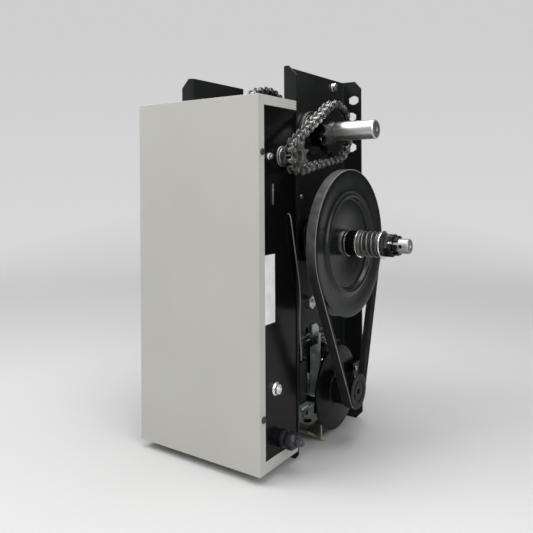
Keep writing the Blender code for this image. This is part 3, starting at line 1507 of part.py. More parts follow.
def brake_lever():
    """The lever from the plunger over its pivot to a fork above the caliper."""
    front = Vector(LEVER_FRONT)
    pivot = Vector(LEVER_PIVOT)
    fork = Vector(LEVER_FORK)
    up = LEVER_HALF_HEIGHT
    outline = [
        (front.x, front.y - up), (pivot.x - 8, pivot.y - up - 2), (pivot.x + 6, pivot.y - up - 2),
        (fork.x - 2, fork.y - 2), (fork.x - 2, fork.y - 8), (fork.x + 3, fork.y - 8), (fork.x + 3, fork.y),
        (fork.x + 13, fork.y), (fork.x + 13, fork.y - 8), (fork.x + 18, fork.y - 8), (fork.x + 18, fork.y + 6),
        (fork.x, fork.y + 6), (pivot.x + 10, pivot.y + up + 1), (front.x, front.y + up),
    ]
    at_pivot = [(u - pivot.x, v - pivot.y) for u, v in outline]
    slot = [
        (SOLENOID_Y - pivot.x + u, LEVER_LINE_AT_PLUNGER - pivot.y + v)
        for u, v in obround(2.0, 1.5 + GAP + 0.2, 4)
    ]
    half = LEVER_SHEET / 2
    return flat(
        "brake_lever", [at_pivot, circle(LEVER_PIN_RADIUS + GAP, 12), slot],
        SOLENOID_X - half, SOLENOID_X + half, "x", BLACK, LEVER_PIVOT,
    )


def brake_caliper():
    """A block on the motor's end bell that straddles the rear edge of the disc."""
    y_low, y_high = CALIPER_Y
    z_low, z_high = CALIPER_HEIGHTS
    bell = MOTOR_HALF_LENGTH + GAP + BELL_LENGTH - 3 + GAP
    back = DISC_PLANE - DISC_SHEET / 2
    face = DISC_PLANE + DISC_SHEET / 2
    arm_face = back - PAD_SHEET - 2
    edge = MOTOR_SPOT[0] + DISC_RADIUS + 2.5
    inner = block("brake_caliper", (arm_face - CALIPER_ARM, y_low, z_low), (arm_face, y_high, z_high), BLACK)
    boss = block("caliper_boss", (bell, y_low + 4, z_low + 4), (arm_face - 1, y_low + 20, z_high - 10), BLACK)
    outer = block(
        "caliper_outer", (face + GAP + 0.2, y_low, z_low), (face + GAP + 0.2 + CALIPER_ARM, y_high, z_high), BLACK,
    )
    bridge = block(
        "caliper_bridge", (arm_face - 1, edge, z_low), (face + GAP + 1.2, y_high, z_high), BLACK,
    )
    join(inner, boss, outer, bridge)
    hole = flat(
        "stem_hole", [circle(PAD_STEM_RADIUS + GAP, 12)], bell - 2, arm_face + 2, "x", BLACK, PAD_SPOT,
    )
    return cut(inner, hole)


def brake_pad():
    """The moving friction pad on its stem."""
    back = DISC_PLANE - DISC_SHEET / 2 - GAP
    stem_low = DISC_PLANE - DISC_SHEET / 2 - PAD_SHEET - 2 - CALIPER_ARM - 3
    y, z = PAD_SPOT
    pad = block("brake_pad", (back - PAD_SHEET, y - PAD_HALF, z - PAD_HALF), (back, y + PAD_HALF, z + PAD_HALF), FRICTION)
    stem = turned(
        "pad_stem",
        [
            (back - 1, 0), (back - 1, PAD_STEM_RADIUS), (stem_low, PAD_STEM_RADIUS), (stem_low, 0),
        ],
        PAD_SPOT, FRICTION, 12,
    )
    return join(pad, stem)


def solenoid_lead():
    """The thin lead from the box side down into the brake bay."""
    x = BOX_SIDE
    y, z = LEAD_HOLE_SPOT
    route = [
        (x - 3, y, z), (x + 1.5, y, z), (x + 3.2, y + 1, z - 5), (x + 3.6, y + 4, z - 20),
        (x + 4.2, y + 9, z - 45), (x + 4.6, y + 15, z - 72), (x + 3.4, y + 22, z - 96),
        (x - 0.5, y + 29, z - 120), (x - 3.2, y + 32, z - 145), (x - 3.2, y + 33.5, z - 170),
        (x - 3.0, y + 34.5, COIL_TOP + 16), (x - 3.0, y + 35.5, COIL_TOP + 2.9),
    ]
    return tube("solenoid_lead", smooth_route(route, 2), LEAD_RADIUS, LEAD, 1)


def smooth_route(points, steps):
    """A smooth curve through chosen points."""
    knots = [Vector(p) for p in points]
    knots = [knots[0] * 2 - knots[1], *knots, knots[-1] * 2 - knots[-2]]
    result = []
    for i in range(1, len(knots) - 2):
        a, b, c, d = knots[i - 1:i + 3]
        for k in range(steps):
            t = k / steps
            result.append(tuple(
                0.5 * (2 * b + (c - a) * t + (2 * a - 5 * b + 4 * c - d) * t ** 2 + (3 * b - a - 3 * c + d) * t ** 3)
            ))
    result.append(tuple(knots[-2]))
    return result


# Places worked out from the driving dimensions

REDUCTION_DISTANCE = centre_distance(OUTPUT_TEETH, PINION_TEETH, REDUCTION_LINKS)
CLUTCH_SPOT = (OUTPUT_SPOT[0], OUTPUT_SPOT[1] - REDUCTION_DISTANCE)
LIMIT_DISTANCE = centre_distance(LIMIT_LARGE_TEETH, LIMIT_SMALL_TEETH, LIMIT_LINKS)
LIMIT_SPOT = (
    OUTPUT_SPOT[0] + LIMIT_DISTANCE * cos(LIMIT_DIRECTION),
    OUTPUT_SPOT[1] + LIMIT_DISTANCE * sin(LIMIT_DIRECTION),
)
LEVER_LINE_AT_PLUNGER = LEVER_FRONT[1] + (LEVER_PIVOT[1] - LEVER_FRONT[1]) * (
    (SOLENOID_Y - LEVER_FRONT[0]) / (LEVER_PIVOT[0] - LEVER_FRONT[0])
)
SHELF_HEIGHT = LIMIT_SPOT[1] - SHELF_BELOW_SHAFT
PLATE_TOP = SHELF_HEIGHT - PLATE_BELOW_SHELF
PAD_SPOT = (
    (CALIPER_Y[0] + MOTOR_SPOT[0] + DISC_RADIUS) / 2,
    sum(CALIPER_HEIGHTS) / 2,
)


def group(name, place, members, parent):
    """An empty on a joint's axis that carries the pieces which move with it."""
    pivot = bpy.data.objects.new(name, None)
    PARTS.objects.link(pivot)
    pivot.parent = parent
    pivot.location = Vector(place) * MM
    for piece in members:
        for obj in [piece, *TOOLS.get(piece.name, [])]:
            carry(obj, pivot, place)
    return pivot


def carry(obj, pivot, place):
    for tool in TOOLS.get(obj.name, []) if obj.parent is None else []:
        if tool.parent is None:
            tool.parent = pivot
            tool.location = tool.location - Vector(place) * MM
    if obj.parent is None:
        obj.parent = pivot
        obj.location = obj.location - Vector(place) * MM


def build():
    root = bpy.data.objects.new("roller_shutter_motor", None)
    PARTS.objects.link(root)
    root.location = -ORIGIN * MM
    reduction = chain_stations(OUTPUT_SPOT, CLUTCH_SPOT, OUTPUT_TEETH, PINION_TEETH, REDUCTION_LINKS)
    limit = chain_stations(OUTPUT_SPOT, LIMIT_SPOT, LIMIT_LARGE_TEETH, LIMIT_SMALL_TEETH, LIMIT_LINKS)

    fixed = [
        side_plate("side_plate_right", 1), side_plate("side_plate_left", -1), tie_rod(), control_box(),
        cable_gland(), earth_stud(), limit_bushing("limit_bushing_right", 1),
        limit_bushing("limit_bushing_left", -1), component_plate(), control_board(), reversing_contactor(),
        transformer(), limit_bracket(),
        limit_switch("limit_switch_open", 1), limit_switch("limit_switch_close", -1),
        motor_body(), end_bell("motor_end_bell_right", 1), end_bell("motor_end_bell_left", -1),
        motor_cradle(), brake_bracket(), solenoid_frame(), solenoid_coil(), brake_caliper(), solenoid_lead(),
        v_belt(), plain_chain("reduction_chain", reduction, REDUCTION_PLANE, OUTPUT_SPOT),
        roller_chain("limit_chain", limit, LIMIT_PLANE, OUTPUT_SPOT),
    ]
    for side, word in ((1, "right"), (-1, "left")):
        for height, place in zip(SCREW_HEIGHTS, ("top", "bottom")):
            if side > 0:
                fixed.append(cover_screw(f"cover_screw_{place}", side, height))
        fixed.append(bearing(f"output_bearing_{word}", side, OUTPUT_SPOT, OUTPUT_RADIUS))
        fixed.append(bearing(f"clutch_bearing_{word}", side, CLUTCH_SPOT, CLUTCH_RADIUS))
    group("frame", (0.0, 0.0, 0.0), fixed, root)

    group("cover", (0.0, COVER_FRONT_Y, COVER_BOTTOM), [front_cover()], root)
    group("output_drive", (0.0, *OUTPUT_SPOT), [
        output_shaft(),
        sprocket(
            "output_sprocket", OUTPUT_TEETH, tooth_phase(reduction, OUTPUT_SPOT, OUTPUT_TEETH),
            REDUCTION_PLANE, OUTPUT_SPOT, OUTPUT_RADIUS, OUTPUT_HUB_RADIUS,
            REDUCTION_PLANE - TOOTH_WIDTH / 2 - HUB_LENGTH, STEEL,
        ),
        sprocket(
            "limit_sprocket_large", LIMIT_LARGE_TEETH, tooth_phase(limit, OUTPUT_SPOT, LIMIT_LARGE_TEETH),
            LIMIT_PLANE, OUTPUT_SPOT, OUTPUT_RADIUS, LIMIT_HUB_RADIUS,
            FRAME_HALF + GAP + BEARING_FLANGE + BEARING_NOSE + GAP, BLACK,
            (LIMIT_PLANE - LIMIT_HUB_LENGTH, LIMIT_HUB_NECK),
        ),
    ], root)
    group("clutch_drive", (0.0, *CLUTCH_SPOT), [
        clutch_shaft(),
        clutch_pulley(),
        sprocket(
            "clutch_pinion", PINION_TEETH, tooth_phase(reduction, CLUTCH_SPOT, PINION_TEETH),
            REDUCTION_PLANE, CLUTCH_SPOT, CLUTCH_RADIUS, PINION_HUB_RADIUS,
            REDUCTION_PLANE - TOOTH_WIDTH / 2 - HUB_LENGTH, STEEL,
        ),
        *clutch_stack(),
    ], root)
    group("motor_drive", (0.0, *MOTOR_SPOT), [motor_shaft(), motor_pulley(), brake_disc()], root)
    group("limit_drive", (0.0, *LIMIT_SPOT), [
        limit_shaft(),
        sprocket(
            "limit_sprocket_small", LIMIT_SMALL_TEETH, tooth_phase(limit, LIMIT_SPOT, LIMIT_SMALL_TEETH),
            LIMIT_PLANE, LIMIT_SPOT, LIMIT_RADIUS, SMALL_HUB_RADIUS, BOX_SIDE + GAP + BUSH_FLANGE + GAP + 3, STEEL,
        ),
    ], root)
    for name, side in (("open", 1), ("close", -1)):
        group(f"nut_{name}", (0.0, *LIMIT_SPOT), [limit_nut(f"limit_nut_{name}", side * NUT_DISC_REST)], root)
        group(f"lever_{name}", lever_hinge(side), [switch_lever(f"switch_lever_{name}", side)], root)
    group("retainer", (0.0, *LIMIT_SPOT), [nut_retainer()], root)
    group("plunger", (SOLENOID_X, SOLENOID_Y, LEVER_LINE_AT_PLUNGER), [brake_plunger()], root)
    group("lever", (SOLENOID_X, *LEVER_PIVOT), [brake_lever()], root)
    group("pad", (DISC_PLANE, *PAD_SPOT), [brake_pad()], root)


build()
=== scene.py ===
"""Looks of the roller shutter motor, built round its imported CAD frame.

Lengths are in millimetres until a mesh is made. Places are measured as in the part's own drawing:
x from the middle between the side plates, y from the wall and z from the floor.
The front is towards -y and the drives are on +x.
"""

from math import asin, atan2, cos, hypot, pi, radians, sin

import bmesh
import bpy
from mathutils import Matrix, Vector


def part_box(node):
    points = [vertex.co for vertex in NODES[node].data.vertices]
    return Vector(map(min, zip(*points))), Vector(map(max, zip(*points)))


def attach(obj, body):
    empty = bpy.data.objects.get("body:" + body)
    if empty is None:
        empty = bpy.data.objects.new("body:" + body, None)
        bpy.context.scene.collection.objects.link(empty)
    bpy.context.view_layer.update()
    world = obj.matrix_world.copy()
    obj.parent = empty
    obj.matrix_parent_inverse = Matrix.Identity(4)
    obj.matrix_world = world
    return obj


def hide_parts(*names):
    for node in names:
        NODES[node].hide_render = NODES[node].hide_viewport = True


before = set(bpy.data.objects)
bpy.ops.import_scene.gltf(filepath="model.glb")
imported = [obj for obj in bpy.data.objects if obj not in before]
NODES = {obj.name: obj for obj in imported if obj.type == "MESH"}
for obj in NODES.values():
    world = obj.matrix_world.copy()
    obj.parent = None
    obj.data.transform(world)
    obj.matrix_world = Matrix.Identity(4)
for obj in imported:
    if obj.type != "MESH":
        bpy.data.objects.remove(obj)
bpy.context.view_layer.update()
MM = 0.001
CREASE = 35.0
MIDDLE_X = (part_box("side_plate_left")[0].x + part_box("side_plate_right")[1].x) / 2 / MM
WALL_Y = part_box("side_plate_right")[1].y / MM


def low(node):
    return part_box(node)[0] / MM - Vector((MIDDLE_X, WALL_Y, 0.0))


def high(node):
    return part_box(node)[1] / MM - Vector((MIDDLE_X, WALL_Y, 0.0))


def place(x, y, z):
    """A place in the drawing as a point of the row frame, in metres."""
    return Vector((x + MIDDLE_X, y + WALL_Y, z)) * MM


def axis_of(node):
    middle = (low(node) + high(node)) / 2
    return middle.y, middle.z


def middle_x(node):
    return (low(node).x + high(node).x) / 2


def radius_of(node):
    return (high(node).z - low(node).z) / 2


def ends(node, side=1):
    """Where a node starts and ends along x, counted away from the middle on the given side."""
    return (low(node).x, high(node).x)[::side]


OUTPUT = axis_of("output_shaft")
CLUTCH = axis_of("clutch_shaft")
LIMIT = axis_of("limit_shaft")
MOTOR = axis_of("motor_shaft")
LIMIT_PLANE = middle_x("limit_chain")
REDUCTION_PLANE = middle_x("reduction_chain")
BELT_PLANE = middle_x("v_belt")
WEB_FACE = 80.0
BOX_SIDE = 96.5
PULLEY_HALF = 7.25
PULLEY_FACE = BELT_PLANE + PULLEY_HALF
PULLEY_REAR = BELT_PLANE - PULLEY_HALF


# Materials

def principled(name, colour, roughness, metallic=0.0, specular=0.5):
    material = bpy.data.materials.new(name)
    material.use_nodes = True
    shader = material.node_tree.nodes["Principled BSDF"]
    shader.inputs["Base Color"].default_value = (*colour, 1.0)
    shader.inputs["Roughness"].default_value = roughness
    shader.inputs["Metallic"].default_value = metallic
    shader.inputs["Specular IOR Level"].default_value = specular
    return material, material.node_tree, shader


def node(tree, kind, **values):
    """A shader node with its settings, its values and the sockets that feed it."""
    made = tree.nodes.new("ShaderNode" + kind)
    for key, value in values.items():
        if isinstance(value, bpy.types.NodeSocket):
            tree.links.new(value, made.inputs[key])
        elif key in made.inputs:
            made.inputs[key].default_value = value
        else:
            setattr(made, key, value)
    return made


EVEN = (1.0, 1.0, 1.0)
LENGTHWISE = (0.06, 1.0, 1.0)
TURNED = (1.0, 0.08, 0.08)


def object_coordinates(tree, stretch=EVEN):
    """Coordinates of the piece in metres, stretched to make streaks."""
    source = node(tree, "TexCoord").outputs["Object"]
    return node(tree, "Mapping", Scale=stretch, Vector=source).outputs["Vector"]


def noise(tree, vector, scale, detail=3.0, roughness=0.5):
    made = node(tree, "TexNoise", Scale=scale, Detail=detail, Roughness=roughness, Vector=vector)
    return made.outputs["Fac"]


def ramp(tree, factor, stops):
    made = node(tree, "ValToRGB", Fac=factor)
    elements = made.color_ramp.elements
    while len(elements) < len(stops):
        elements.new(0.5)
    for element, (position, colour) in zip(elements, stops):
        element.position = position
        element.color = (*colour, 1.0)
    return made.outputs["Color"]


def spread(tree, factor, lowest, highest, start=0.3, end=0.7):
    made = node(tree, "MapRange", Value=factor)
    for socket, value in zip(("From Min", "From Max", "To Min", "To Max"), (start, end, lowest, highest)):
        made.inputs[socket].default_value = value
    return made.outputs["Result"]


def bump(tree, shader, height, strength, distance):
    made = node(tree, "Bump", Strength=strength, Distance=distance * MM, Height=height)
    tree.links.new(made.outputs["Normal"], shader.inputs["Normal"])


def tint(tree, shader, factor, dark, light, end=0.7):
    """Lets the base colour wander between two shades."""
    tree.links.new(ramp(tree, factor, [(0.3, dark), (end, light)]), shader.inputs["Base Color"])


def gloss(tree, shader, factor, lowest, highest):
    """Lets the roughness wander between two values."""
    tree.links.new(spread(tree, factor, lowest, highest), shader.inputs["Roughness"])


def shades(colour, amount):
    """The colour a little darker and a little lighter."""
    return [tuple(c * (1 - amount) for c in colour), tuple(min(c * (1 + amount), 1.0) for c in colour)]


def paint(name, colour, roughness, peel, grain, variation, specular=0.5):
    """Sprayed paint: faint orange peel, a little unevenness in colour and gloss."""
    material, tree, shader = principled(name, colour, roughness, specular=specular)
    vector = object_coordinates(tree)
    tint(tree, shader, noise(tree, vector, 9.0, 4.0), *shades(colour, variation))
    gloss(tree, shader, noise(tree, vector, 34.0, 6.0, 0.6), roughness * 0.82, roughness * 1.22)
    bump(tree, shader, noise(tree, vector, grain, 2.0), peel, 0.12)
    return material


def metal(name, colour, roughness, variation=0.12, streaks=EVEN, grain=160.0, relief=0.06):
    """Bare or plated metal, with streaks where the stretch draws its grain out."""
    material, tree, shader = principled(name, colour, roughness, 1.0)
    grained = noise(tree, object_coordinates(tree, streaks), grain, 4.0, 0.6)
    broad = noise(tree, object_coordinates(tree), 26.0, 4.0)
    tint(tree, shader, broad, *shades(colour, variation), 0.72)
    gloss(tree, shader, grained, roughness * 0.75, roughness * 1.35)
    bump(tree, shader, grained, relief, 0.08)
    return material


def plastic(name, colour, roughness, relief=0.04, grain=900.0):
    """Moulded plastic with a fine even grain."""
    material, tree, shader = principled(name, colour, roughness)
    vector = object_coordinates(tree)
    tint(tree, shader, noise(tree, vector, 60.0), *shades(colour, 0.1))
    fine = noise(tree, vector, grain, 2.0)
    gloss(tree, shader, fine, roughness * 0.85, roughness * 1.15)
    bump(tree, shader, fine, relief, 0.05)
    return material


def painted_light_by_height(material, low_height, high_height, low_share, high_share):
    """Scales a material's colour with height: painted light and shade, lighter where more light falls and
    darker where less does.
    """
    tree = material.node_tree
    colour = tree.nodes["Principled BSDF"].inputs["Base Color"]
    parts = node(tree, "SeparateXYZ", Vector=node(tree, "TexCoord").outputs["Object"])
    share = spread(tree, parts.outputs["Z"], low_share, high_share, low_height * MM, high_height * MM)
    scaled = node(tree, "VectorMath", operation="SCALE", Vector=colour.links[0].from_socket, Scale=share)
    tree.links.new(scaled.outputs["Vector"], colour)
    return material


def belt_rubber():
    """The belt's rubbered fabric: a fine diagonal weave and uneven tone, with painted shade low on the belt
    and painted light high on it.
    """
    material, tree, shader = principled("belt_rubber", (0.05, 0.05, 0.05), 0.72, specular=0.2)
    vector = object_coordinates(tree)
    dust = noise(tree, vector, 70.0, 6.0, 0.65)
    tint(tree, shader, dust, (0.012, 0.012, 0.0125), (0.045, 0.045, 0.044), 0.72)
    threads = []
    for turn in (0.8, -0.8):
        turned = node(tree, "Mapping", Rotation=(turn, turn, 0.0), Vector=vector)
        wave = node(tree, "TexWave", Scale=330.0, Distortion=1.2, Vector=turned.outputs["Vector"])
        threads.append(wave.outputs["Fac"])
    weave = node(tree, "Math", operation="ADD")
    for thread, socket in zip(threads, weave.inputs):
        tree.links.new(thread, socket)
    bump(tree, shader, weave.outputs["Value"], 0.5, 0.2)
    # Painted shade and light: the colour drops to 0.4 below 240 mm and rises to 3.6 times above 350 mm, as if
    # lit from above.
    return painted_light_by_height(material, 240.0, 350.0, 0.4, 3.6)


def circuit_board_green():
    """Solder mask with the paler pattern of copper under it."""
    material, tree, shader = principled("circuit_board_green", (0.02, 0.12, 0.05), 0.35)
    tracks = node(
        tree, "TexBrick", Scale=90.0, offset=0.35, Vector=object_coordinates(tree),
        Color1=(0.016, 0.1, 0.045, 1.0), Color2=(0.02, 0.13, 0.055, 1.0), Mortar=(0.04, 0.2, 0.09, 1.0),
    )
    tree.links.new(tracks.outputs["Color"], shader.inputs["Base Color"])
    bump(tree, shader, tracks.outputs["Fac"], 0.1, 0.05)
    return material


FRAME_BLACK = paint("frame_black", (0.01, 0.011, 0.0115), 0.3, 0.07, 380.0, 0.2, specular=0.2)
BOX_BLACK = paint("box_black", (0.004, 0.004, 0.0044), 0.2, 0.03, 260.0, 0.15, specular=0.14)
COVER_GREY = paint("cover_grey", (0.478, 0.473, 0.438), 0.5, 0.1, 700.0, 0.025)
PULLEY_BLACK = paint("pulley_black", (0.004, 0.0052, 0.0052), 0.23, 0.02, 320.0, 0.12, specular=0.34)
DISC_BLACK = paint("disc_black", (0.0035, 0.0034, 0.0034), 0.24, 0.03, 300.0, 0.15, specular=0.11)
WHEEL_BLACK = paint("wheel_black", (0.006, 0.0065, 0.006), 0.16, 0.04, 240.0, 0.2, specular=0.3)
BEARING_BLACK = paint("bearing_black", (0.008, 0.008, 0.008), 0.34, 0.05, 300.0, 0.2, specular=0.25)
SATIN_ZINC = metal("satin_zinc_plate", (0.56, 0.66, 0.63), 0.52, 0.1, relief=0.03)
NUT_BLACK = paint("nut_black", (0.003, 0.0034, 0.0038), 0.26, 0.03, 500.0, 0.2, specular=0.26)
HUB_BLACK = paint("hub_black", (0.0022, 0.0024, 0.0026), 0.22, 0.03, 500.0, 0.2, specular=0.15)
ZINC = metal("zinc_plate", (0.74, 0.75, 0.74), 0.3, 0.12)
BRIGHT_ZINC = metal("bright_zinc_plate", (0.86, 0.87, 0.86), 0.22, 0.08)
YELLOW_ZINC = metal("yellow_zinc_plate", (0.84, 0.83, 0.66), 0.4, 0.1)
SHAFT_STEEL = metal("drawn_shaft_steel", (0.52, 0.53, 0.515), 0.31, 0.08, LENGTHWISE, 260.0, 0.1)
FACED_STEEL = metal("faced_steel", (0.36, 0.37, 0.36), 0.42, 0.1, relief=0.1)
ROD_STEEL = metal("clutch_rod_steel", (0.36, 0.37, 0.355), 0.4, 0.15, LENGTHWISE, 260.0, 0.08)
TURNED_STEEL = metal("turned_steel", (0.7, 0.7, 0.69), 0.28, 0.1, TURNED, 500.0, 0.12)
CHAIN_STEEL = metal("chain_steel", (0.21, 0.21, 0.2), 0.26, 0.4)
PIN_STEEL = metal("chain_pin_steel", (0.55, 0.55, 0.53), 0.24, 0.2)
SPROCKET_STEEL = metal("sprocket_steel", (0.23, 0.235, 0.22), 0.42, 0.2)
SPRING_STEEL = metal("spring_steel", (0.125, 0.12, 0.108), 0.32, 0.2)
DULL_ZINC = metal("dull_zinc_plate", (0.4, 0.4, 0.38), 0.36, 0.2)
DARK_STEEL = metal("dark_steel", (0.14, 0.14, 0.14), 0.4, 0.25)
BLUED_STEEL = metal("blued_steel", (0.05, 0.062, 0.066), 0.42, 0.25)
# Cast aluminium darkened above 60 mm and much darker above 100 mm: painted shade on the upper part of the end
# bells, which the frame shades.
CAST_SHADED_ABOVE = painted_light_by_height(
    metal("cast_aluminium_painted_shade_above", (0.34, 0.38, 0.36), 0.5, 0.14, grain=420.0, relief=0.25),
    60.0, 100.0, 1.0, 0.12,
)
# Zinc darkened below the output shaft's axis: painted shade on the lower arcs of the bearing rims and beads.
ZINC_SHADED_BELOW = painted_light_by_height(
    metal("zinc_plate_painted_shade_below", (0.42, 0.42, 0.4), 0.34, 0.2),
    OUTPUT[1] - 8.0, OUTPUT[1] + 6.0, 0.1, 1.0,
)
# A darkened copy of the yellow zinc: painted shade on the motor cradle, which lies in the shadow of the
# control box.
SHADED_YELLOW_ZINC = metal("yellow_zinc_plate_painted_shade", (0.26, 0.26, 0.2), 0.5, 0.25)
NYLON = plastic("gland_nylon", (0.009, 0.013, 0.017), 0.36)
GREY_PLASTIC = plastic("plug_grey", (0.04, 0.046, 0.05), 0.4)
BLACK_PLASTIC = plastic("black_plastic", (0.02, 0.02, 0.022), 0.4)
LEAD_GREY = plastic("lead_grey", (0.2, 0.2, 0.19), 0.5)
LINING = plastic("brake_lining", (0.09, 0.075, 0.06), 0.9, 0.4, 500.0)
WINDING = plastic("coil_tape", (0.012, 0.017, 0.019), 0.42)
PAPER = plastic("label_white", (0.78, 0.79, 0.79), 0.5, 0.01)
# Pale strips along the belt's edges: a worn edge, and partly a painted highlight where the edge catches the
# light.
BELT_EDGE = plastic("belt_edge", (0.36, 0.355, 0.34), 0.8, 0.2, 700.0)
BELT = belt_rubber()
BOARD = circuit_board_green()


# Meshes

def add_object(name, data):
    made = bpy.data.objects.new(name, data)
    bpy.context.scene.collection.objects.link(made)
    return made


def take_mesh(shape, name):
    """Ends a bmesh and gives what it holds as a mesh."""
    mesh = bpy.data.meshes.new(name)
    shape.to_mesh(mesh)
    shape.free()
    return mesh


def finish_mesh(name, shape, material, body, replaced=None, crease=CREASE):
    """Turns a bmesh in drawing millimetres into a piece that rides on a body."""
    bmesh.ops.remove_doubles(shape, verts=shape.verts, dist=0.0005)
    bmesh.ops.recalc_face_normals(shape, faces=shape.faces)
    for vertex in shape.verts:
        vertex.co = place(*vertex.co)
    mesh = take_mesh(shape, name)
    mesh.shade_smooth()
    mesh.set_sharp_from_angle(angle=radians(crease))
    mesh.materials.append(material)
    made = add_object(name, mesh)
    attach(made, body)
    if replaced:
        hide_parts(replaced)
    return made


def piece(name, material, body, build, replaced=None, crease=CREASE):
    """A piece whose bmesh is filled by a function."""
    shape = bmesh.new()
    build(shape)
    return finish_mesh(name, shape, material, body, replaced, crease)


def softened(profile, radius, closed=False):
    """Profile points with each corner cut by a small round of three points."""
    count = len(profile)
    points = []
    for i, (x, r) in enumerate(profile):
        if not closed and i in (0, count - 1):
            points.append((x, r))
            continue
        here = Vector((x, r))
        back = Vector(profile[i - 1]) - here
        ahead = Vector(profile[(i + 1) % count]) - here
        reach = min(radius, back.length * 0.4, ahead.length * 0.4)
        if reach < 0.02 or back.angle(ahead, pi) > pi * 0.97:
            points.append((x, r))
            continue
        first = here + back.normalized() * reach
        last = here + ahead.normalized() * reach
        middle = (first + last) / 4 + here / 2
        points += [tuple(first), tuple(middle), tuple(last)]
    return points


def lathe_into(shape, profile, spot, segments=64, closed=False, soft=0.0):
    """Turns (x, radius) points about the x axis through spot, a (y, z) pair, into a bmesh."""
    rings = []
    for x, r in softened(profile, soft, closed):
        if r < 1e-6:
            rings.append([shape.verts.new((x, *spot))])
            continue
        rings.append([shape.verts.new((x, spot[0] + y, spot[1] + z)) for y, z in circle(r, segments)])
    pairs = list(zip(rings, rings[1:]))
    if closed:
        pairs.append((rings[-1], rings[0]))
    for one, two in pairs:
        for i in range(segments):
            k = (i + 1) % segments
            if len(one) == 1 and len(two) > 1:
                shape.faces.new((one[0], two[i], two[k]))
            elif len(two) == 1 and len(one) > 1:
                shape.faces.new((one[i], one[k], two[0]))
            elif len(one) > 1:
                shape.faces.new((one[i], one[k], two[k], two[i]))


def lathe_along(shape, profile, spot, direction, segments=24):
    """Turns (height, radius) points about a line through spot, into a bmesh."""
    before = set(shape.verts)
    lathe_into(shape, profile, (0.0, 0.0), segments)
    made = [v for v in shape.verts if v not in before]
    turn = Vector((1.0, 0.0, 0.0)).rotation_difference(Vector(direction)).to_matrix().to_4x4()
    bmesh.ops.transform(shape, matrix=Matrix.Translation(spot) @ turn, verts=made)


def lathe(name, profile, spot, material, body, slot, segments=64, closed=False, soft=0.4, replaced=None):
    shape = bmesh.new()
    lathe_into(shape, profile, spot, segments, closed, soft)
    return finish_mesh(name, shape, material, body, replaced)


def turned_node(cad_node, profile, spot, material, body, slot, segments=72, closed=True, soft=0.4, name=None):
    """A turned piece in the place of a CAD node."""
    name = name or f"{cad_node}_fine"
    return lathe(name, profile, spot, material, body, slot, segments, closed, soft, cad_node)


def tube(start, end, inner, outer):
    """The profile of a plain ring, or of a disc where inner is 0."""
    return [(end, inner), (end, outer), (start, outer), (start, inner)]


def outwards(face, side, points):
    """Profile points that are counted outwards from a face on the given side of the frame."""
    return [(face + side * x, r) for x, r in points][::side]


def plate_mesh(loops, thickness, edge):
    """A flat plate in its own plane, centred in its thickness, with holes and softened edges."""
    curve = bpy.data.curves.new("plate_outline", "CURVE")
    curve.dimensions = "2D"
    curve.fill_mode = "BOTH"
    curve.extrude = thickness / 2 - edge
    curve.bevel_depth = edge
    curve.bevel_resolution = 1
    curve.offset = -edge
    for loop in loops:
        spline = curve.splines.new("POLY")
        spline.points.add(len(loop) - 1)
        spline.use_cyclic_u = True
        for point, (u, v) in zip(spline.points, loop):
            point.co = (u, v, 0.0, 1.0)
    holder = add_object("plate_outline", curve)
    bpy.context.view_layer.update()
    graph = bpy.context.evaluated_depsgraph_get()
    mesh = bpy.data.meshes.new_from_object(holder.evaluated_get(graph))
    bpy.data.objects.remove(holder)
    bpy.data.curves.remove(curve)
    return mesh


ACROSS = Matrix(((0, 0, 1, 0), (1, 0, 0, 0), (0, 1, 0, 0), (0, 0, 0, 1)))


def plate_into(shape, loops, x, thickness, spot, turn=0.0, edge=0.3):
    """Adds a plate that faces along x, with its outline given as (y, z) about spot."""
    mesh = plate_mesh(loops, thickness, edge)
    mesh.transform(Matrix.Translation((x, *spot)) @ Matrix.Rotation(turn, 4, "X") @ ACROSS)
    shape.from_mesh(mesh)
    bpy.data.meshes.remove(mesh)


def box_into(shape, lowest, highest, edge=0.0):
    """Adds a box between two corners, and gives its vertices where its edges stay sharp."""
    lowest = Vector(lowest)
    highest = Vector(highest)
    made = bmesh.ops.create_cube(shape, size=1.0)["verts"]
    bmesh.ops.scale(shape, vec=highest - lowest, verts=made)
    bmesh.ops.translate(shape, vec=(lowest + highest) / 2, verts=made)
    if edge:
        edges = {e for v in made for e in v.link_edges}
        bmesh.ops.bevel(shape, geom=list(edges), offset=edge, segments=2, profile=0.5, affect="EDGES")
        return []
    return made


def circle(radius, count=24, start=0.0):
    return [
        (radius * cos(start + 2 * pi * i / count), radius * sin(start + 2 * pi * i / count))
        for i in range(count)
    ]


def arc(radius, start, end, steps):
    angles = [start + (end - start) * k / steps for k in range(steps + 1)]
    return [(radius * cos(a), radius * sin(a)) for a in angles]


def ring_sector(inner, outer, start, end, steps=8):
    return arc(outer, start, end, steps) + arc(inner, end, start, steps)


def hexagon(flats, turn=0.0):
    return circle(flats / 2 / cos(pi / 6), 6, pi / 6 + turn)


def bolt_into(shape, x, spot, flats, height, side=1, washer=0.0, stud=0.0, turn=0.0):
    """A hexagon head that stands on a face at x, with its washer and the end of its thread."""
    base = x
    if washer:
        base += side * 1.2
        lathe_into(shape, tube(x, base, 0.0, washer), spot, 28, soft=0.25)
    plate_into(shape, [hexagon(flats, turn)], base + side * height / 2, height, spot, edge=0.35)
    top = base + side * height
    lathe_into(shape, [
        (top + side * 0.35, 0.0), (top + side * 0.3, flats * 0.3), (top - side * 0.1, flats * 0.44),
        (top - side * 0.6, 0.0),
    ], spot, 24)
    if stud:
        lathe_into(shape, tube(base, top + side * stud, 0.0, flats * 0.26), spot, 20, soft=0.5)


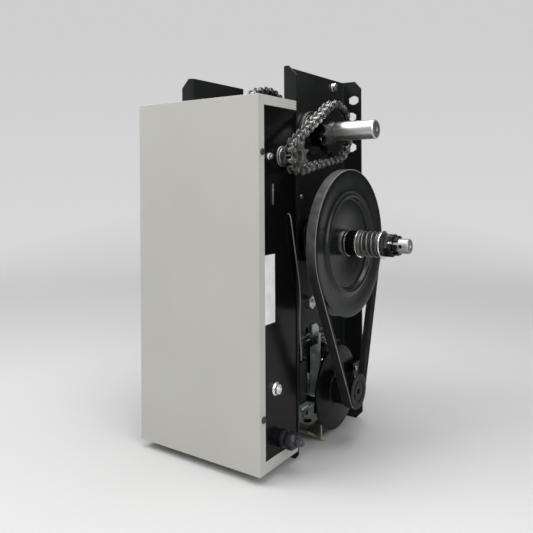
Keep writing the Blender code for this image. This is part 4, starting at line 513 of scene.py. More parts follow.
def cut_with(target, shape):
    """Takes a bmesh in drawing millimetres away from a piece."""
    for vertex in shape.verts:
        vertex.co = place(*vertex.co)
    tool = add_object("tool", take_mesh(shape, "tool"))
    hole = target.modifiers.new("hole", "BOOLEAN")
    hole.object = tool
    hole.operation = "DIFFERENCE"
    hole.solver = "EXACT"
    bpy.context.view_layer.update()
    graph = bpy.context.evaluated_depsgraph_get()
    mesh = bpy.data.meshes.new_from_object(target.evaluated_get(graph))
    target.modifiers.clear()
    target.data = mesh
    bpy.data.objects.remove(tool)
    mesh.set_sharp_from_angle(angle=radians(CREASE))


# Chains and sprockets

PITCH = 12.7
ROLLER_RADIUS = 3.96
PIN_RADIUS = 1.98
RIVET_RADIUS = 2.35
CHAIN_INSIDE = 7.9
LINK_SHEET = 1.5
LINK_HEIGHT = 11.4
LINK_WAIST = 5.6
GULLET_RADIUS = 4.15
TOOTH_HALF = 3.5
TOOTH_TIP = 3.3
LIMIT_TEETH = (18, 9)
LIMIT_LINKS = 30
REDUCTION_TEETH = (32, 11)
REDUCTION_LINKS = 46


def pitch_radius(teeth):
    return PITCH / 2 / sin(pi / teeth)


def chain_stations(spot_a, spot_b, teeth, links):
    """The (y, z) roller centres of a chain round two sprockets, whole pitches apart."""
    a = Vector(spot_a)
    b = Vector(spot_b)
    offset = b - a
    radius_a, radius_b = (pitch_radius(count) for count in teeth)
    lean = asin((radius_a - radius_b) / offset.length)
    side = pi / 2 - lean
    heading = atan2(offset.y, offset.x)
    span = offset.length * cos(lean) / PITCH
    arc_a = (pi + 2 * lean) * teeth[0] / (2 * pi)
    arc_b = (pi - 2 * lean) * teeth[1] / (2 * pi)
    scale = links / (2 * span + arc_a + arc_b)
    span, arc_a, arc_b = span * scale, arc_a * scale, arc_b * scale

    def rim(spot, radius, angle):
        return spot + Vector((cos(angle + heading), sin(angle + heading))) * radius

    places = []
    for i in range(links):
        where = float(i)
        if where < span:
            places.append(rim(a, radius_a, side).lerp(rim(b, radius_b, side), where / span))
            continue
        where -= span
        if where < arc_b:
            places.append(rim(b, radius_b, side - 2 * side * where / arc_b))
            continue
        where -= arc_b
        if where < span:
            places.append(rim(b, radius_b, -side).lerp(rim(a, radius_a, -side), where / span))
            continue
        where -= span
        places.append(rim(a, radius_a, -side - (2 * pi - 2 * side) * where / arc_a))
    return places


def link_outline(height, waist):
    """A chain plate: two round ends joined by a narrow waist."""
    radius = height / 2
    points = []
    for end, start in ((1, -0.64), (-1, 0.36)):
        for i in range(13):
            angle = (start + 1.28 * i / 12) * pi
            points.append((end * PITCH / 2 + radius * cos(angle), radius * sin(angle)))
        for along, out in ((1.4, 0.25), (0.0, 0.0), (-1.4, 0.25)):
            points.append((end * along, end * (waist / 2 + out)))
    return points


def roller_chain(name, stations, plane, replaced):
    """Plates, rollers and riveted pins of a chain that runs through the stations."""
    inside = CHAIN_INSIDE / 2
    gap = 0.15

    def plates(shape, height, waist, start):
        for side in (-1, 1):
            middle = side * (start + LINK_SHEET / 2)
            plate_into(shape, [link_outline(height, waist)], middle, LINK_SHEET, (0.0, 0.0))

    def inner(shape):
        plates(shape, LINK_HEIGHT, LINK_WAIST + 0.6, inside)
        for end in (-1, 1):
            lathe_into(shape, [
                (inside, 2.6), (inside - 0.1, ROLLER_RADIUS), (-inside + 0.1, ROLLER_RADIUS), (-inside, 2.6),
            ], (end * PITCH / 2, 0.0), 20, soft=0.5)

    def outer(shape):
        plates(shape, LINK_HEIGHT - 1.6, LINK_WAIST - 0.6, inside + LINK_SHEET + gap)

    def pins(shape):
        end = inside + 2 * LINK_SHEET + gap + 0.6
        half = [
            (end, 0.0), (end, 1.5), (end - 0.3, RIVET_RADIUS), (end - 0.65, RIVET_RADIUS),
            (end - 0.7, PIN_RADIUS),
        ]
        whole = half + [(-x, r) for x, r in reversed(half)]
        for across in (-1, 1):
            lathe_into(shape, whole, (across * PITCH / 2, 0.0), 14)

    places = []
    for here, ahead in zip(stations, stations[1:] + stations[:1]):
        places.append(((here + ahead) / 2, atan2(ahead.y - here.y, ahead.x - here.x)))
    for part, build, chosen, material, node_taken in (
        ("inner_links", inner, places[0::2], CHAIN_STEEL, replaced),
        ("outer_links", outer, places[1::2], CHAIN_STEEL, None),
        ("pins", pins, places[1::2], PIN_STEEL, None),
    ):
        link = bmesh.new()
        build(link)
        mesh = take_mesh(link, "link")
        shape = bmesh.new()
        for spot, angle in chosen:
            turned = mesh.copy()
            turned.transform(Matrix.Translation((plane, *spot)) @ Matrix.Rotation(angle, 4, "X"))
            shape.from_mesh(turned)
            bpy.data.meshes.remove(turned)
        bpy.data.meshes.remove(mesh)
        finish_mesh(f"{name}_{part}", shape, material, "frame", node_taken)


def tooth_gap_angle(stations, spot, teeth):
    radius = pitch_radius(teeth)
    seated = min(stations, key=lambda p: abs(hypot(p.x - spot[0], p.y - spot[1]) - radius))
    return atan2(seated.y - spot[1], seated.x - spot[0])


def tooth_outline(teeth, phase):
    """Round seats for the rollers, curved flanks and rounded tips."""
    radius = pitch_radius(teeth)
    step = 2 * pi / teeth
    outline = []
    for tooth in range(teeth):
        gap = phase + tooth * step
        centre = Vector((radius * cos(gap), radius * sin(gap)))
        for swing in range(-90, 91, 22):
            angle = gap + pi + radians(swing)
            outline.append(tuple(centre + Vector((cos(angle), sin(angle))) * GULLET_RADIUS))
        middle = gap + step / 2
        reach = radius + TOOTH_TIP
        half = 0.8 / reach
        for share, drop in ((-2.1, 1.3), (-1.0, 0.0), (1.0, 0.0), (2.1, 1.3)):
            angle = middle + share * half
            outline.append(((reach - drop) * cos(angle), (reach - drop) * sin(angle)))
    return sorted(outline, key=lambda p: atan2(p[1], p[0]))


LIMIT_STATIONS = chain_stations(OUTPUT, LIMIT, LIMIT_TEETH, LIMIT_LINKS)
REDUCTION_STATIONS = chain_stations(OUTPUT, CLUTCH, REDUCTION_TEETH, REDUCTION_LINKS)


def sprocket(name, replaced, teeth, stations, plane, spot, bore, material, body):
    """A toothed wheel that is turned so that the rollers of its chain sit in its gaps."""
    outline = tooth_outline(teeth, tooth_gap_angle(stations, spot, teeth))
    shape = bmesh.new()
    plate_into(shape, [outline, circle(bore, 40)], plane, 2 * TOOTH_HALF, spot, edge=0.7)
    finish_mesh(name, shape, material, body, replaced)


def wheel_hub(name, cad_node, radius, bore, spot, body):
    """A hub on the low side of a wheel of the reduction."""
    profile = tube(low(cad_node).x, REDUCTION_PLANE - TOOTH_HALF + 0.5, bore + 0.2, radius)
    lathe(name, profile, spot, CHAIN_STEEL, body, "oiled_steel", 56, True, 0.6)


def build_chain_drives():
    roller_chain("limit_chain_fine", LIMIT_STATIONS, LIMIT_PLANE, "limit_chain")
    roller_chain("reduction_chain_fine", REDUCTION_STATIONS, REDUCTION_PLANE, "reduction_chain")
    shaft = radius_of("output_shaft")
    clutch = radius_of("clutch_shaft")
    bore = radius_of("limit_shaft") + 0.15

    sprocket(
        "limit_wheel_large", "limit_sprocket_large", LIMIT_TEETH[0], LIMIT_STATIONS, LIMIT_PLANE, OUTPUT,
        shaft + 0.2, WHEEL_BLACK, "output_drive",
    )
    hub_low = low("limit_sprocket_large").x
    hub_radius = 28.0
    face = LIMIT_PLANE - TOOTH_HALF
    step = LIMIT_PLANE - 14.0
    lathe("limit_wheel_hub", [
        (face + 0.2, shaft + 0.3), (face + 0.2, hub_radius), (step, hub_radius), (step, 20.0),
        (hub_low, 20.0), (hub_low, shaft + 0.3),
    ], OUTPUT, HUB_BLACK, "output_drive", "black_paint", 72, True, 0.8)

    def set_screws(shape):
        for turn in (-2.72, -1.9):
            out = Vector((cos(turn), sin(turn)))
            spot = Vector(OUTPUT) + out * (hub_radius - 0.1)
            head = [(0.5, 0.0), (0.5, 1.7), (0.2, 2.6), (-1.0, 2.8), (-1.0, 0.0)]
            lathe_along(shape, head, (step + 6.0, *spot), (0.0, *out), 20)
    piece("limit_wheel_screws", BRIGHT_ZINC, "output_drive", set_screws)

    sprocket(
        "limit_wheel_small", "limit_sprocket_small", LIMIT_TEETH[1], LIMIT_STATIONS, LIMIT_PLANE, LIMIT,
        bore, SPROCKET_STEEL, "limit_drive",
    )
    hub = tube(low("limit_sprocket_small").x, LIMIT_PLANE, bore, 10.5)
    lathe("limit_small_hub", hub, LIMIT, SPROCKET_STEEL, "limit_drive", "oiled_steel", 48, True)
    front = LIMIT_PLANE + TOOTH_HALF
    lathe("limit_small_ring", [
        (front + 0.25, 9.3), (front + 0.25, 10.4), (front - 0.3, 10.6), (front - 0.3, 9.1),
    ], LIMIT, DARK_STEEL, "limit_drive", "oiled_steel", 48, True, 0.1)

    sprocket(
        "reduction_wheel", "output_sprocket", REDUCTION_TEETH[0], REDUCTION_STATIONS, REDUCTION_PLANE, OUTPUT,
        shaft + 0.2, CHAIN_STEEL, "output_drive",
    )
    wheel_hub("reduction_wheel_hub", "output_sprocket", 26.0, shaft, OUTPUT, "output_drive")
    sprocket(
        "reduction_pinion", "clutch_pinion", REDUCTION_TEETH[1], REDUCTION_STATIONS, REDUCTION_PLANE, CLUTCH,
        clutch + 0.2, CHAIN_STEEL, "clutch_drive",
    )
    wheel_hub("reduction_pinion_hub", "clutch_pinion", 13.0, clutch, CLUTCH, "clutch_drive")


# Shafts and bearings

SHAFT_PAINT_END = 119.0


def build_shafts():
    shaft = radius_of("output_shaft")
    start, end = ends("output_shaft")
    turned_node("output_shaft", [
        (end - 1.0, 0.0), (end - 0.1, shaft - 2.0), (end, shaft - 1.5), (end - 1.5, shaft),
        (start + 1.5, shaft), (start, shaft - 1.5), (start, 0.0),
    ], OUTPUT, SHAFT_STEEL, "output_drive", "bright_zinc", closed=False, soft=0.25)
    lathe("output_shaft_face", [
        (end - 6.0, 0.0), (end - 3.2, 1.5), (end - 2.2, 1.7), (end - 0.05, 3.4), (end - 0.05, shaft - 1.9),
        (end - 1.2, shaft - 1.9),
    ], OUTPUT, FACED_STEEL, "output_drive", "bright_zinc", soft=0.2)
    sleeve = tube(REDUCTION_PLANE, SHAFT_PAINT_END, shaft, shaft + 0.12)
    lathe("output_shaft_sleeve", sleeve, OUTPUT, BLUED_STEEL, "output_drive", "black_paint", 72, True, 0.05)

    clutch = radius_of("clutch_shaft")
    start, end = ends("clutch_shaft")
    rod = turned_node("clutch_shaft", [
        (end - 4.5, 0.0), (end - 2.0, 1.3), (end, 2.6), (end, clutch - 1.3), (end - 1.3, clutch),
        (start + 1.0, clutch), (start, clutch - 1.0), (start, 0.0),
    ], CLUTCH, ROD_STEEL, "clutch_drive", "bright_zinc", closed=False, soft=0.25)
    hole_spot = (end - 10.0, *CLUTCH)
    hole_radius = 2.4
    hole = bmesh.new()
    bmesh.ops.create_cone(
        hole, cap_ends=True, segments=24, radius1=hole_radius, radius2=hole_radius, depth=40.0,
        matrix=Matrix.Translation(hole_spot) @ Matrix.Rotation(-pi / 2, 4, "X"),
    )
    cut_with(rod, hole)

    # A black tube inside the cross hole: painted shade, so that the hole reads dark.
    def lining(shape):
        lathe_along(shape, tube(-7.2, 7.2, 0.0, hole_radius + 0.02), hole_spot, (0.0, 1.0, 0.0))
    piece("clutch_shaft_cross_hole_shade", HUB_BLACK, "clutch_drive", lining)


def bearing(side, word, kind, spot, shaft_radius):
    """A flanged housing with the bearing's rings inside its nose."""
    cad_node = f"{kind}_bearing_{word}"
    bore = shaft_radius + 0.3
    outer = radius_of(cad_node)
    inner_x, outer_x = ends(cad_node, side)
    depth = abs(outer_x - inner_x)
    flange = abs(outer_x) - WEB_FACE - 0.3
    turned_node(cad_node, outwards(outer_x, side, [
        (0.0, 16.6), (0.0, 18.4), (-4.0, 19.6), (-4.2, outer - 0.6), (-flange, outer), (-flange, 20.0),
        (-depth, 20.0), (-depth, 16.6),
    ]), spot, BEARING_BLACK, "frame", "bright_zinc", 80, name=f"{cad_node}_housing")
    seat, lip = (14.6, 14.9) if bore < 11 else (15.6, 15.8)
    for part, material, segments, points in (
        ("rim", ZINC_SHADED_BELOW, 96, [
            (-3.7, outer - 1.3), (-3.9, outer - 0.1), (0.4 - flange, outer), (0.4 - flange, outer - 1.0),
        ]),
        ("bead", ZINC_SHADED_BELOW, 96, [(-3.6, 24.6), (-3.6, 25.6), (-4.4, 25.9), (-4.4, 24.3)]),
        ("race", TURNED_STEEL, 72, [
            (-0.8, bore), (-0.8, bore + 2.4), (-1.6, bore + 2.6), (-1.6, seat), (-0.7, lip), (-0.7, 16.7),
            (-9.0, 16.7), (-9.0, bore),
        ]),
    ):
        profile = outwards(outer_x, side, points)
        lathe(f"{cad_node}_{part}", profile, spot, material, "frame", "bright_zinc", segments, True, 0.2)


def build_bearings():
    bore = radius_of("limit_shaft") + 0.25
    for side, word in ((1, "right"), (-1, "left")):
        bearing(side, word, "output", OUTPUT, radius_of("output_shaft"))
        bearing(side, word, "clutch", CLUTCH, radius_of("clutch_shaft"))
        cad_node = f"limit_bushing_{word}"
        inner_x, outer_x = ends(cad_node, side)
        depth = abs(outer_x - inner_x)
        turned_node(cad_node, outwards(outer_x, side, [
            (0.0, bore), (0.0, 9.4), (-0.9, 9.8), (-0.9, 12.0), (-1.6, 13.0), (-2.7, 13.0), (-2.7, 9.0),
            (-depth, 9.0), (-depth, bore),
        ]), LIMIT, DULL_ZINC, "frame", "bright_zinc", 64)


# Clutch

def groove_profile(radius):
    """The rim of a pulley with its V groove, from the front face to the rear one."""
    half = ((PULLEY_HALF, 0.0), (6.9, 0.0), (4.0, 10.0))
    points = [*half, *((-x, depth) for x, depth in reversed(half))]
    return [(BELT_PLANE + x, radius - depth) for x, depth in points]


def build_clutch():
    bore = radius_of("clutch_shaft") + 0.25
    radius = radius_of("clutch_pulley")
    face = PULLEY_FACE
    disc = face - 5.45
    back = disc - 2.6
    turned_node("clutch_pulley", [
        (disc, bore), (disc, 58.6), (disc + 0.5, 59.6), (face - 0.6, 61.4), (face + 0.6, 62.8),
        (face + 0.8, 65.0), (face - 0.2, 67.2), (face - 2.2, 69.0), (face - 2.8, 71.0), (face - 1.4, 82.0),
        (face - 0.3, 90.0), (face, 94.0), *groove_profile(radius - 1.0),
        (PULLEY_REAR, radius - 14.0), (back, radius - 18.0), (back, bore),
    ], CLUTCH, PULLEY_BLACK, "clutch_drive", "black_paint", 160, soft=0.7)

    start, end = ends("clutch_collar")
    turned_node(
        "clutch_collar", tube(start + 2.2, end, bore, 17.0), CLUTCH, HUB_BLACK, "clutch_drive", "black_paint",
        64, soft=0.7,
    )
    ring = tube(start + 0.2, start + 2.0, bore, 17.3)
    lathe("clutch_collar_ring", ring, CLUTCH, BRIGHT_ZINC, "clutch_drive", "bright_zinc", 64, True, 0.3)
    for word in ("inner", "outer"):
        cad_node = f"clutch_washer_{word}"
        washer = tube(*ends(cad_node), bore, 18.4)
        turned_node(cad_node, washer, CLUTCH, BRIGHT_ZINC, "clutch_drive", "bright_zinc", 64, soft=0.5)
    clutch_spring()
    castle_nut(bore)


def wire_into(shape, points, radius, sides=12):
    """A round wire with flat ends along a list of points."""
    rings = []
    tangent = (points[1] - points[0]).normalized()
    normal = tangent.orthogonal().normalized()
    for i, point in enumerate(points):
        ahead = points[min(i + 1, len(points) - 1)] - points[max(i - 1, 0)]
        turn = tangent.rotation_difference(ahead.normalized())
        normal = (turn @ normal).normalized()
        tangent = ahead.normalized()
        across = tangent.cross(normal)
        rings.append([shape.verts.new(point + normal * u + across * v) for u, v in circle(radius, sides)])
    for one, two in zip(rings, rings[1:]):
        for k in range(sides):
            shape.faces.new((one[k], one[(k + 1) % sides], two[(k + 1) % sides], two[k]))
    shape.faces.new(rings[0])
    shape.faces.new(rings[-1])


def clutch_spring():
    """The clutch's compression spring, with closed and ground ends."""
    start, end = ends("clutch_spring")
    wire = 2.0
    coil = 15.0
    turns = 5.6
    closed = 0.7
    count = int(turns * 28)
    rise = end - start - 2 * wire
    points = []
    for i in range(count + 1):
        turn = turns * i / count
        share = (turn - closed) / (turns - 2 * closed)
        share = min(max(share, 0.0), 1.0)
        share = share * share * (3 - 2 * share) * 0.25 + share * 0.75
        angle = 2 * pi * turn - 0.6
        points.append(Vector((
            start + wire + rise * share, CLUTCH[0] + coil * cos(angle), CLUTCH[1] + coil * sin(angle),
        )))

    def spring(shape):
        wire_into(shape, points, wire * 0.98)
    piece("clutch_spring_fine", SPRING_STEEL, "clutch_drive", spring, "clutch_spring", 60.0)


def castle_nut(bore):
    """Hexagon nut with six slots across its corners and a slotted crown."""
    start, end = ends("clutch_castle_nut")
    shoulder = end - 6.0
    tilt = radians(157.5)
    loops = [hexagon(26.5), circle(bore, 48)]

    def body(shape):
        plate_into(shape, loops, (start + shoulder) / 2, shoulder - start, CLUTCH, tilt, 0.7)
    nut = piece("castle_nut_hexagon", NUT_BLACK, "clutch_drive", body, "clutch_castle_nut")
    slots = bmesh.new()
    for i in range(6):
        slot = box_into(slots, (shoulder - 6.5, 10.9, -1.5), (shoulder + 1.0, 16.0, 1.5))
        turn = Matrix.Rotation(tilt + i * pi / 3, 4, "X")
        bmesh.ops.transform(slots, matrix=Matrix.Translation((0.0, *CLUTCH)) @ turn, verts=slot)
    cut_with(nut, slots)
    thread = tube(start + 3.0, shoulder - 0.5, bore, 11.2)
    lathe("castle_nut_thread", thread, CLUTCH, BRIGHT_ZINC, "clutch_drive", "bright_zinc", 48, True, 0.2)
    half_wall = pi / 6 - radians(11.5)

    def crown(shape):
        for i in range(6):
            middle = pi / 3 * i + pi / 6 + tilt
            outline = ring_sector(bore, 12.8, middle - half_wall, middle + half_wall, 6)
            plate_into(shape, [outline], shoulder + 2.6, 6.8, CLUTCH)
    piece("castle_nut_crown", HUB_BLACK, "clutch_drive", crown)


# Belt and pulleys

def build_belt():
    big = 98.2
    small = 23.8
    big_steps = 140
    small_steps = 40
    spot_a = Vector(CLUTCH)
    spot_b = Vector(MOTOR)
    offset = spot_b - spot_a
    heading = atan2(offset.y, offset.x)
    side = pi / 2 - asin((big - small) / offset.length)
    stops = [(spot_b, small, heading + side - 2 * side * i / small_steps) for i in range(small_steps + 1)]
    stops += [
        (spot_a, big, heading - side - (2 * pi - 2 * side) * i / big_steps) for i in range(big_steps + 1)
    ]
    lines = []
    for spot, radius, angle in stops:
        out = Vector((cos(angle), sin(angle)))
        lines.append((spot + out * radius, out))
    full = []
    for (point, out), (ahead, ahead_out) in zip(lines, lines[1:] + lines[:1]):
        full.append((point, out))
        count = int((ahead - point).length / 8.0)
        for k in range(1, count):
            full.append((point.lerp(ahead, k / count), out.lerp(ahead_out, k / count).normalized()))

    def swept(section):
        def build(shape):
            rings = []
            for point, out in full:
                rings.append([
                    shape.verts.new((BELT_PLANE + across, point.x - out.x * depth, point.y - out.y * depth))
                    for across, depth in section
                ])
            for one, two in zip(rings, rings[1:] + rings[:1]):
                for k in range(len(section)):
                    j = (k + 1) % len(section)
                    shape.faces.new((one[k], one[j], two[j], two[k]))
        return build

    section = [
        (6.3, 0.15), (5.9, 0.0), (-5.9, 0.0), (-6.3, 0.15), (-6.35, 0.8), (-4.1, 7.6), (-3.7, 8.0),
        (3.7, 8.0), (4.1, 7.6), (6.35, 0.8),
    ]
    piece("v_belt_fine", BELT, "frame", swept(section), "v_belt", 40.0)
    # The pale edge strips are partly a painted highlight along the belt's edges.
    edge = [(6.1, 0.02), (6.36, 0.3), (6.4, 0.85), (6.2, 0.9), (5.95, 0.3)]
    for word, side in (("outer", 1), ("inner", -1)):
        strip = swept([(side * across, depth) for across, depth in edge])
        piece(f"v_belt_edge_{word}", BELT_EDGE, "frame", strip, crease=40.0)


def build_motor_drive():
    bore = radius_of("motor_shaft") + 0.25
    face = PULLEY_FACE
    turned_node("motor_pulley", [
        (face - 3.0, bore), (face - 3.0, 3.2), (face - 0.9, 3.2), (face - 0.3, 4.0), (face - 0.2, 12.2),
        (face - 0.9, 12.9), (face - 0.9, 13.7), (face - 0.2, 14.4), (face, 19.4),
        *groove_profile(radius_of("motor_pulley") - 0.6), (PULLEY_REAR, bore),
    ], MOTOR, DISC_BLACK, "motor_drive", "black_paint", 96)
    start, end = ends("brake_disc")
    outer = radius_of("brake_disc")
    turned_node("brake_disc", [
        (end, bore), (end, 20.0), (end - 1.0, 21.0), (start + 5.0, 21.0), (start + 3.4, 22.6),
        (start + 3.0, 24.0), (start + 3.0, outer), (start, outer), (start, bore),
    ], MOTOR, DISC_BLACK, "motor_drive", "black_paint", 140, soft=0.5)
    shaft = radius_of("motor_shaft")
    start, end = ends("motor_shaft")
    turned_node("motor_shaft", [
        (end - 3.4, 0.0), (end - 1.4, 1.4), (end, 2.8), (end, shaft - 1.0), (end - 1.0, shaft),
        (start + 1.0, shaft), (start, shaft - 1.0), (start, 0.0),
    ], MOTOR, TURNED_STEEL, "motor_drive", "oiled_steel", 48, False, 0.25)


# Motor and its end bells

QUARTER = pi / 2
TIE_BOLT_CIRCLE = 49.0
COVER_BOLT_CIRCLE = 30.5


def build_motor():
    radius = radius_of("motor_body")
    start, end = ends("motor_body")
    half = [
        (0.0, 30.0), (0.0, radius - 3.0), (6.0, radius - 3.0), (7.0, radius), (22.0, radius),
        (22.6, radius - 0.9), (24.0, radius - 0.9), (24.6, radius),
    ]
    can = [(end - x, r) for x, r in half] + [(start + x, r) for x, r in reversed(half)]
    turned_node("motor_body", can, MOTOR, FRAME_BLACK, "frame", "black_paint", 96, soft=0.6, name="motor_can")
    for side, word in ((1, "right"), (-1, "left")):
        end_bell(side, f"motor_end_bell_{word}")


def around_motor(radius, angle):
    return MOTOR[0] + radius * cos(angle), MOTOR[1] + radius * sin(angle)


def end_bell(side, cad_node):
    """A cast bell with a bearing boss, curved air slots, square holes and eight bolts."""
    base, face = ends(cad_node, side)
    depth = abs(face - base)
    outer = radius_of(cad_node)
    bore = radius_of("motor_shaft") + 0.3
    turned_node(cad_node, outwards(face, side, [
        (-3.2, outer - 9.5), (-3.2, outer - 8.0), (6.0 - depth, outer - 0.2), (-depth, outer),
        (-depth, outer - 6.0), (6.0 - depth, outer - 7.0), (-5.4, outer - 10.5),
    ]), MOTOR, CAST_SHADED_ABOVE, "frame", "cast_aluminium", 96, soft=0.8, name=f"{cad_node}_rim")
    holes = [circle(bore + 4.0, 40)]
    for k in range(4):
        turn = radians(-111) + k * QUARTER
        holes.append(ring_sector(50.4, 55.2, turn - radians(13), turn + radians(13)))
        turn = radians(-118.6) + k * QUARTER
        holes.append([
            (42.5 * cos(turn) + 3.0 * a, 42.5 * sin(turn) + 3.0 * b)
            for a, b in ((-1, -1), (1, -1), (1, 1), (-1, 1))
        ])
        turn = radians(-78) + k * QUARTER
        holes.append(ring_sector(30.0, 46.0, turn - radians(14), turn + radians(14)))

    def web(shape):
        plate_into(shape, [circle(outer - 8.6, 96), *holes], face - side * 4.6, 2.8, MOTOR, edge=0.5)
        lathe_into(shape, outwards(face, side, [
            (0.0, bore), (0.0, 19.0), (-1.0, 20.5), (-4.0, 21.6), (-6.0, 21.6), (-6.0, bore),
        ]), MOTOR, 64, True, 0.7)
        for k in range(4):
            spot = around_motor(TIE_BOLT_CIRCLE, (k - 0.5) * QUARTER)
            lathe_into(shape, outwards(face, side, [
                (-1.6, 0.0), (-1.6, 6.2), (-4.0, 7.0), (-4.0, 0.0),
            ]), spot, 32, soft=0.5)
            bolt_into(shape, face - side * 1.6, spot, 7.0, 2.4, side)
    piece(f"{cad_node}_web", CAST_SHADED_ABOVE, "frame", web)

    def inside(shape):
        lathe_into(shape, tube(face - side * 11.0, face - side * 10.0, 30.0, 57.0), MOTOR, 48, True)
    piece(f"{cad_node}_inside", DARK_STEEL, "frame", inside)

    def bolts(shape):
        for k in range(4):
            spot = around_motor(COVER_BOLT_CIRCLE, radians(-123) + k * QUARTER)
            bolt_into(shape, face - side * 3.2, spot, 7.0, 3.4, side, 4.6)
    piece(f"{cad_node}_bolts", BRIGHT_ZINC, "frame", bolts)


# Small fittings

def build_frame_fixings():
    def bolts(shape):
        bolt_into(shape, WEB_FACE, (-35.0, 497.0), 10.0, 4.4, 1, 6.4, turn=0.3)
        bolt_into(shape, -WEB_FACE, (-60.0, 470.0), 10.0, 4.4, -1, 6.4)
    piece("frame_bolts", BRIGHT_ZINC, "frame", bolts)

    def screws(shape):
        for spot in ((-127.0, 337.0), (-140.0, 250.0)):
            lathe_into(shape, outwards(WEB_FACE, 1, [
                (1.9, 0.0), (1.9, 1.6), (1.2, 3.0), (0.02, 3.4), (0.02, 0.0),
            ]), spot, 24, soft=0.3)
    piece("frame_screws", ZINC, "frame", screws)


def build_box_fixings():
    stud = axis_of("earth_stud")
    small_stud = (-229.0, 388.0)

    def studs(shape):
        bolt_into(shape, BOX_SIDE + 0.1, stud, 11.5, 5.0, 1, 8.2, 1.6, 0.2)
        lathe_into(shape, tube(BOX_SIDE - 6.0, high("earth_stud").x - 4.0, 0.0, 2.6), stud, 20, soft=0.3)
        bolt_into(shape, BOX_SIDE, small_stud, 7.0, 2.8, 1, 4.8, 1.4)
    piece("panel_studs", BRIGHT_ZINC, "frame", studs, "earth_stud")

    def label(shape):
        box_into(shape, (BOX_SIDE + 0.02, -241.5, 187.0), (BOX_SIDE + 0.22, -218.0, 270.0))
    piece("blank_label", PAPER, "frame", label)

    gland_spot = axis_of("cable_gland")
    start = BOX_SIDE + 0.1
    end = high("cable_gland").x
    ribs = 18

    def gland(shape):
        plate_into(shape, [hexagon(20.0, 0.26)], start + 3.0, 6.0, gland_spot, edge=0.6)
        lathe_into(shape, outwards(start, 1, [
            (21.0, 4.6), (21.2, 7.2), (18.0, 9.6), (12.0, 10.6), (10.2, 10.6), (9.6, 9.4), (5.8, 9.4),
            (5.8, 8.0), (-8.0, 8.0), (-8.0, 4.6),
        ]), gland_spot, 48, True, 0.8)
        for y, z in circle(10.55, ribs):
            lathe_into(shape, outwards(start, 1, [
                (16.6, 0.0), (16.0, 0.8), (11.0, 0.8), (10.6, 0.0),
            ]), (gland_spot[0] + y, gland_spot[1] + z), 8)
        plate_into(shape, [hexagon(21.0)], BOX_SIDE - 3.9, 4.0, gland_spot, edge=0.5)
    piece("cable_gland_fine", NYLON, "frame", gland, "cable_gland")
    lathe("cable_gland_plug", [
        (end, 0.0), (end, 3.2), (end - 1.2, 4.0), (start + 4.0, 4.2), (start + 4.0, 0.0),
    ], gland_spot, GREY_PLASTIC, "frame", "dark_nylon", 32, soft=0.6)


def build_cover_screws():
    """Pan head screws in the slots of the cover's lips, with their twins on the left."""
    for word in ("top", "bottom"):
        cad_node = f"cover_screw_{word}"
        start, end = ends(cad_node)
        profile = [
            (end - 0.9, 0.0), (end - 0.9, 1.2), (end - 0.1, 1.5), (end - 0.3, 2.6), (end - 1.1, 3.8),
            (end - 2.3, 4.2), (end - 2.3, 2.0), (start, 2.0), (start, 0.0),
        ]
        looks = (axis_of(cad_node), BLACK_PLASTIC, "frame", "oiled_steel", 32, False, 0.2)
        turned_node(cad_node, profile, *looks)
        lathe(f"{cad_node}_left", [(-x, r) for x, r in profile], *looks)


TERMINALS = 14
TERMINAL_PITCH = 10.0


def build_board_parts():
    """Relay cases, capacitors and a row of screw terminals on the control board."""
    forwards = (0.0, -1.0, 0.0)
    corner = low("control_board")
    top = high("control_board").z
    front = corner.y + 14.0
    first = -TERMINALS / 2 * TERMINAL_PITCH

    def cases(shape):
        for x in (-50.0, -18.0, 14.0, 46.0):
            box_into(shape, (x - 9.3, front - 14.4, top - 68.3), (x + 9.3, front, top - 39.7), 0.8)
        for x, height in ((-52.0, 15.0), (-34.0, 11.0), (47.0, 15.0)):
            can = [(height, 0.0), (height, 5.4), (height - 0.8, 6.2), (0.0, 6.2), (0.0, 0.0)]
            lathe_along(shape, can, (x, front, top - 92.0), forwards)
    piece("control_board_relays", BLACK_PLASTIC, "frame", cases)

    def cells(shape):
        for k in range(TERMINALS):
            x = first + TERMINAL_PITCH * k
            box_into(
                shape, (x + 0.2, front - 11.4, corner.z + 7.7),
                (x + TERMINAL_PITCH - 0.2, front, corner.z + 22.4), 0.6,
            )
    piece("control_board_terminals", GREY_PLASTIC, "frame", cells)

    def screws(shape):
        for k in range(TERMINALS):
            spot = (first + TERMINAL_PITCH * (k + 0.5), front - 11.3, corner.z + 15.0)
            lathe_along(shape, [(0.3, 0.0), (0.6, 1.0), (0.6, 2.6), (0.0, 3.0), (0.0, 0.0)], spot, forwards)
    piece("control_board_screws", BRIGHT_ZINC, "frame", screws)


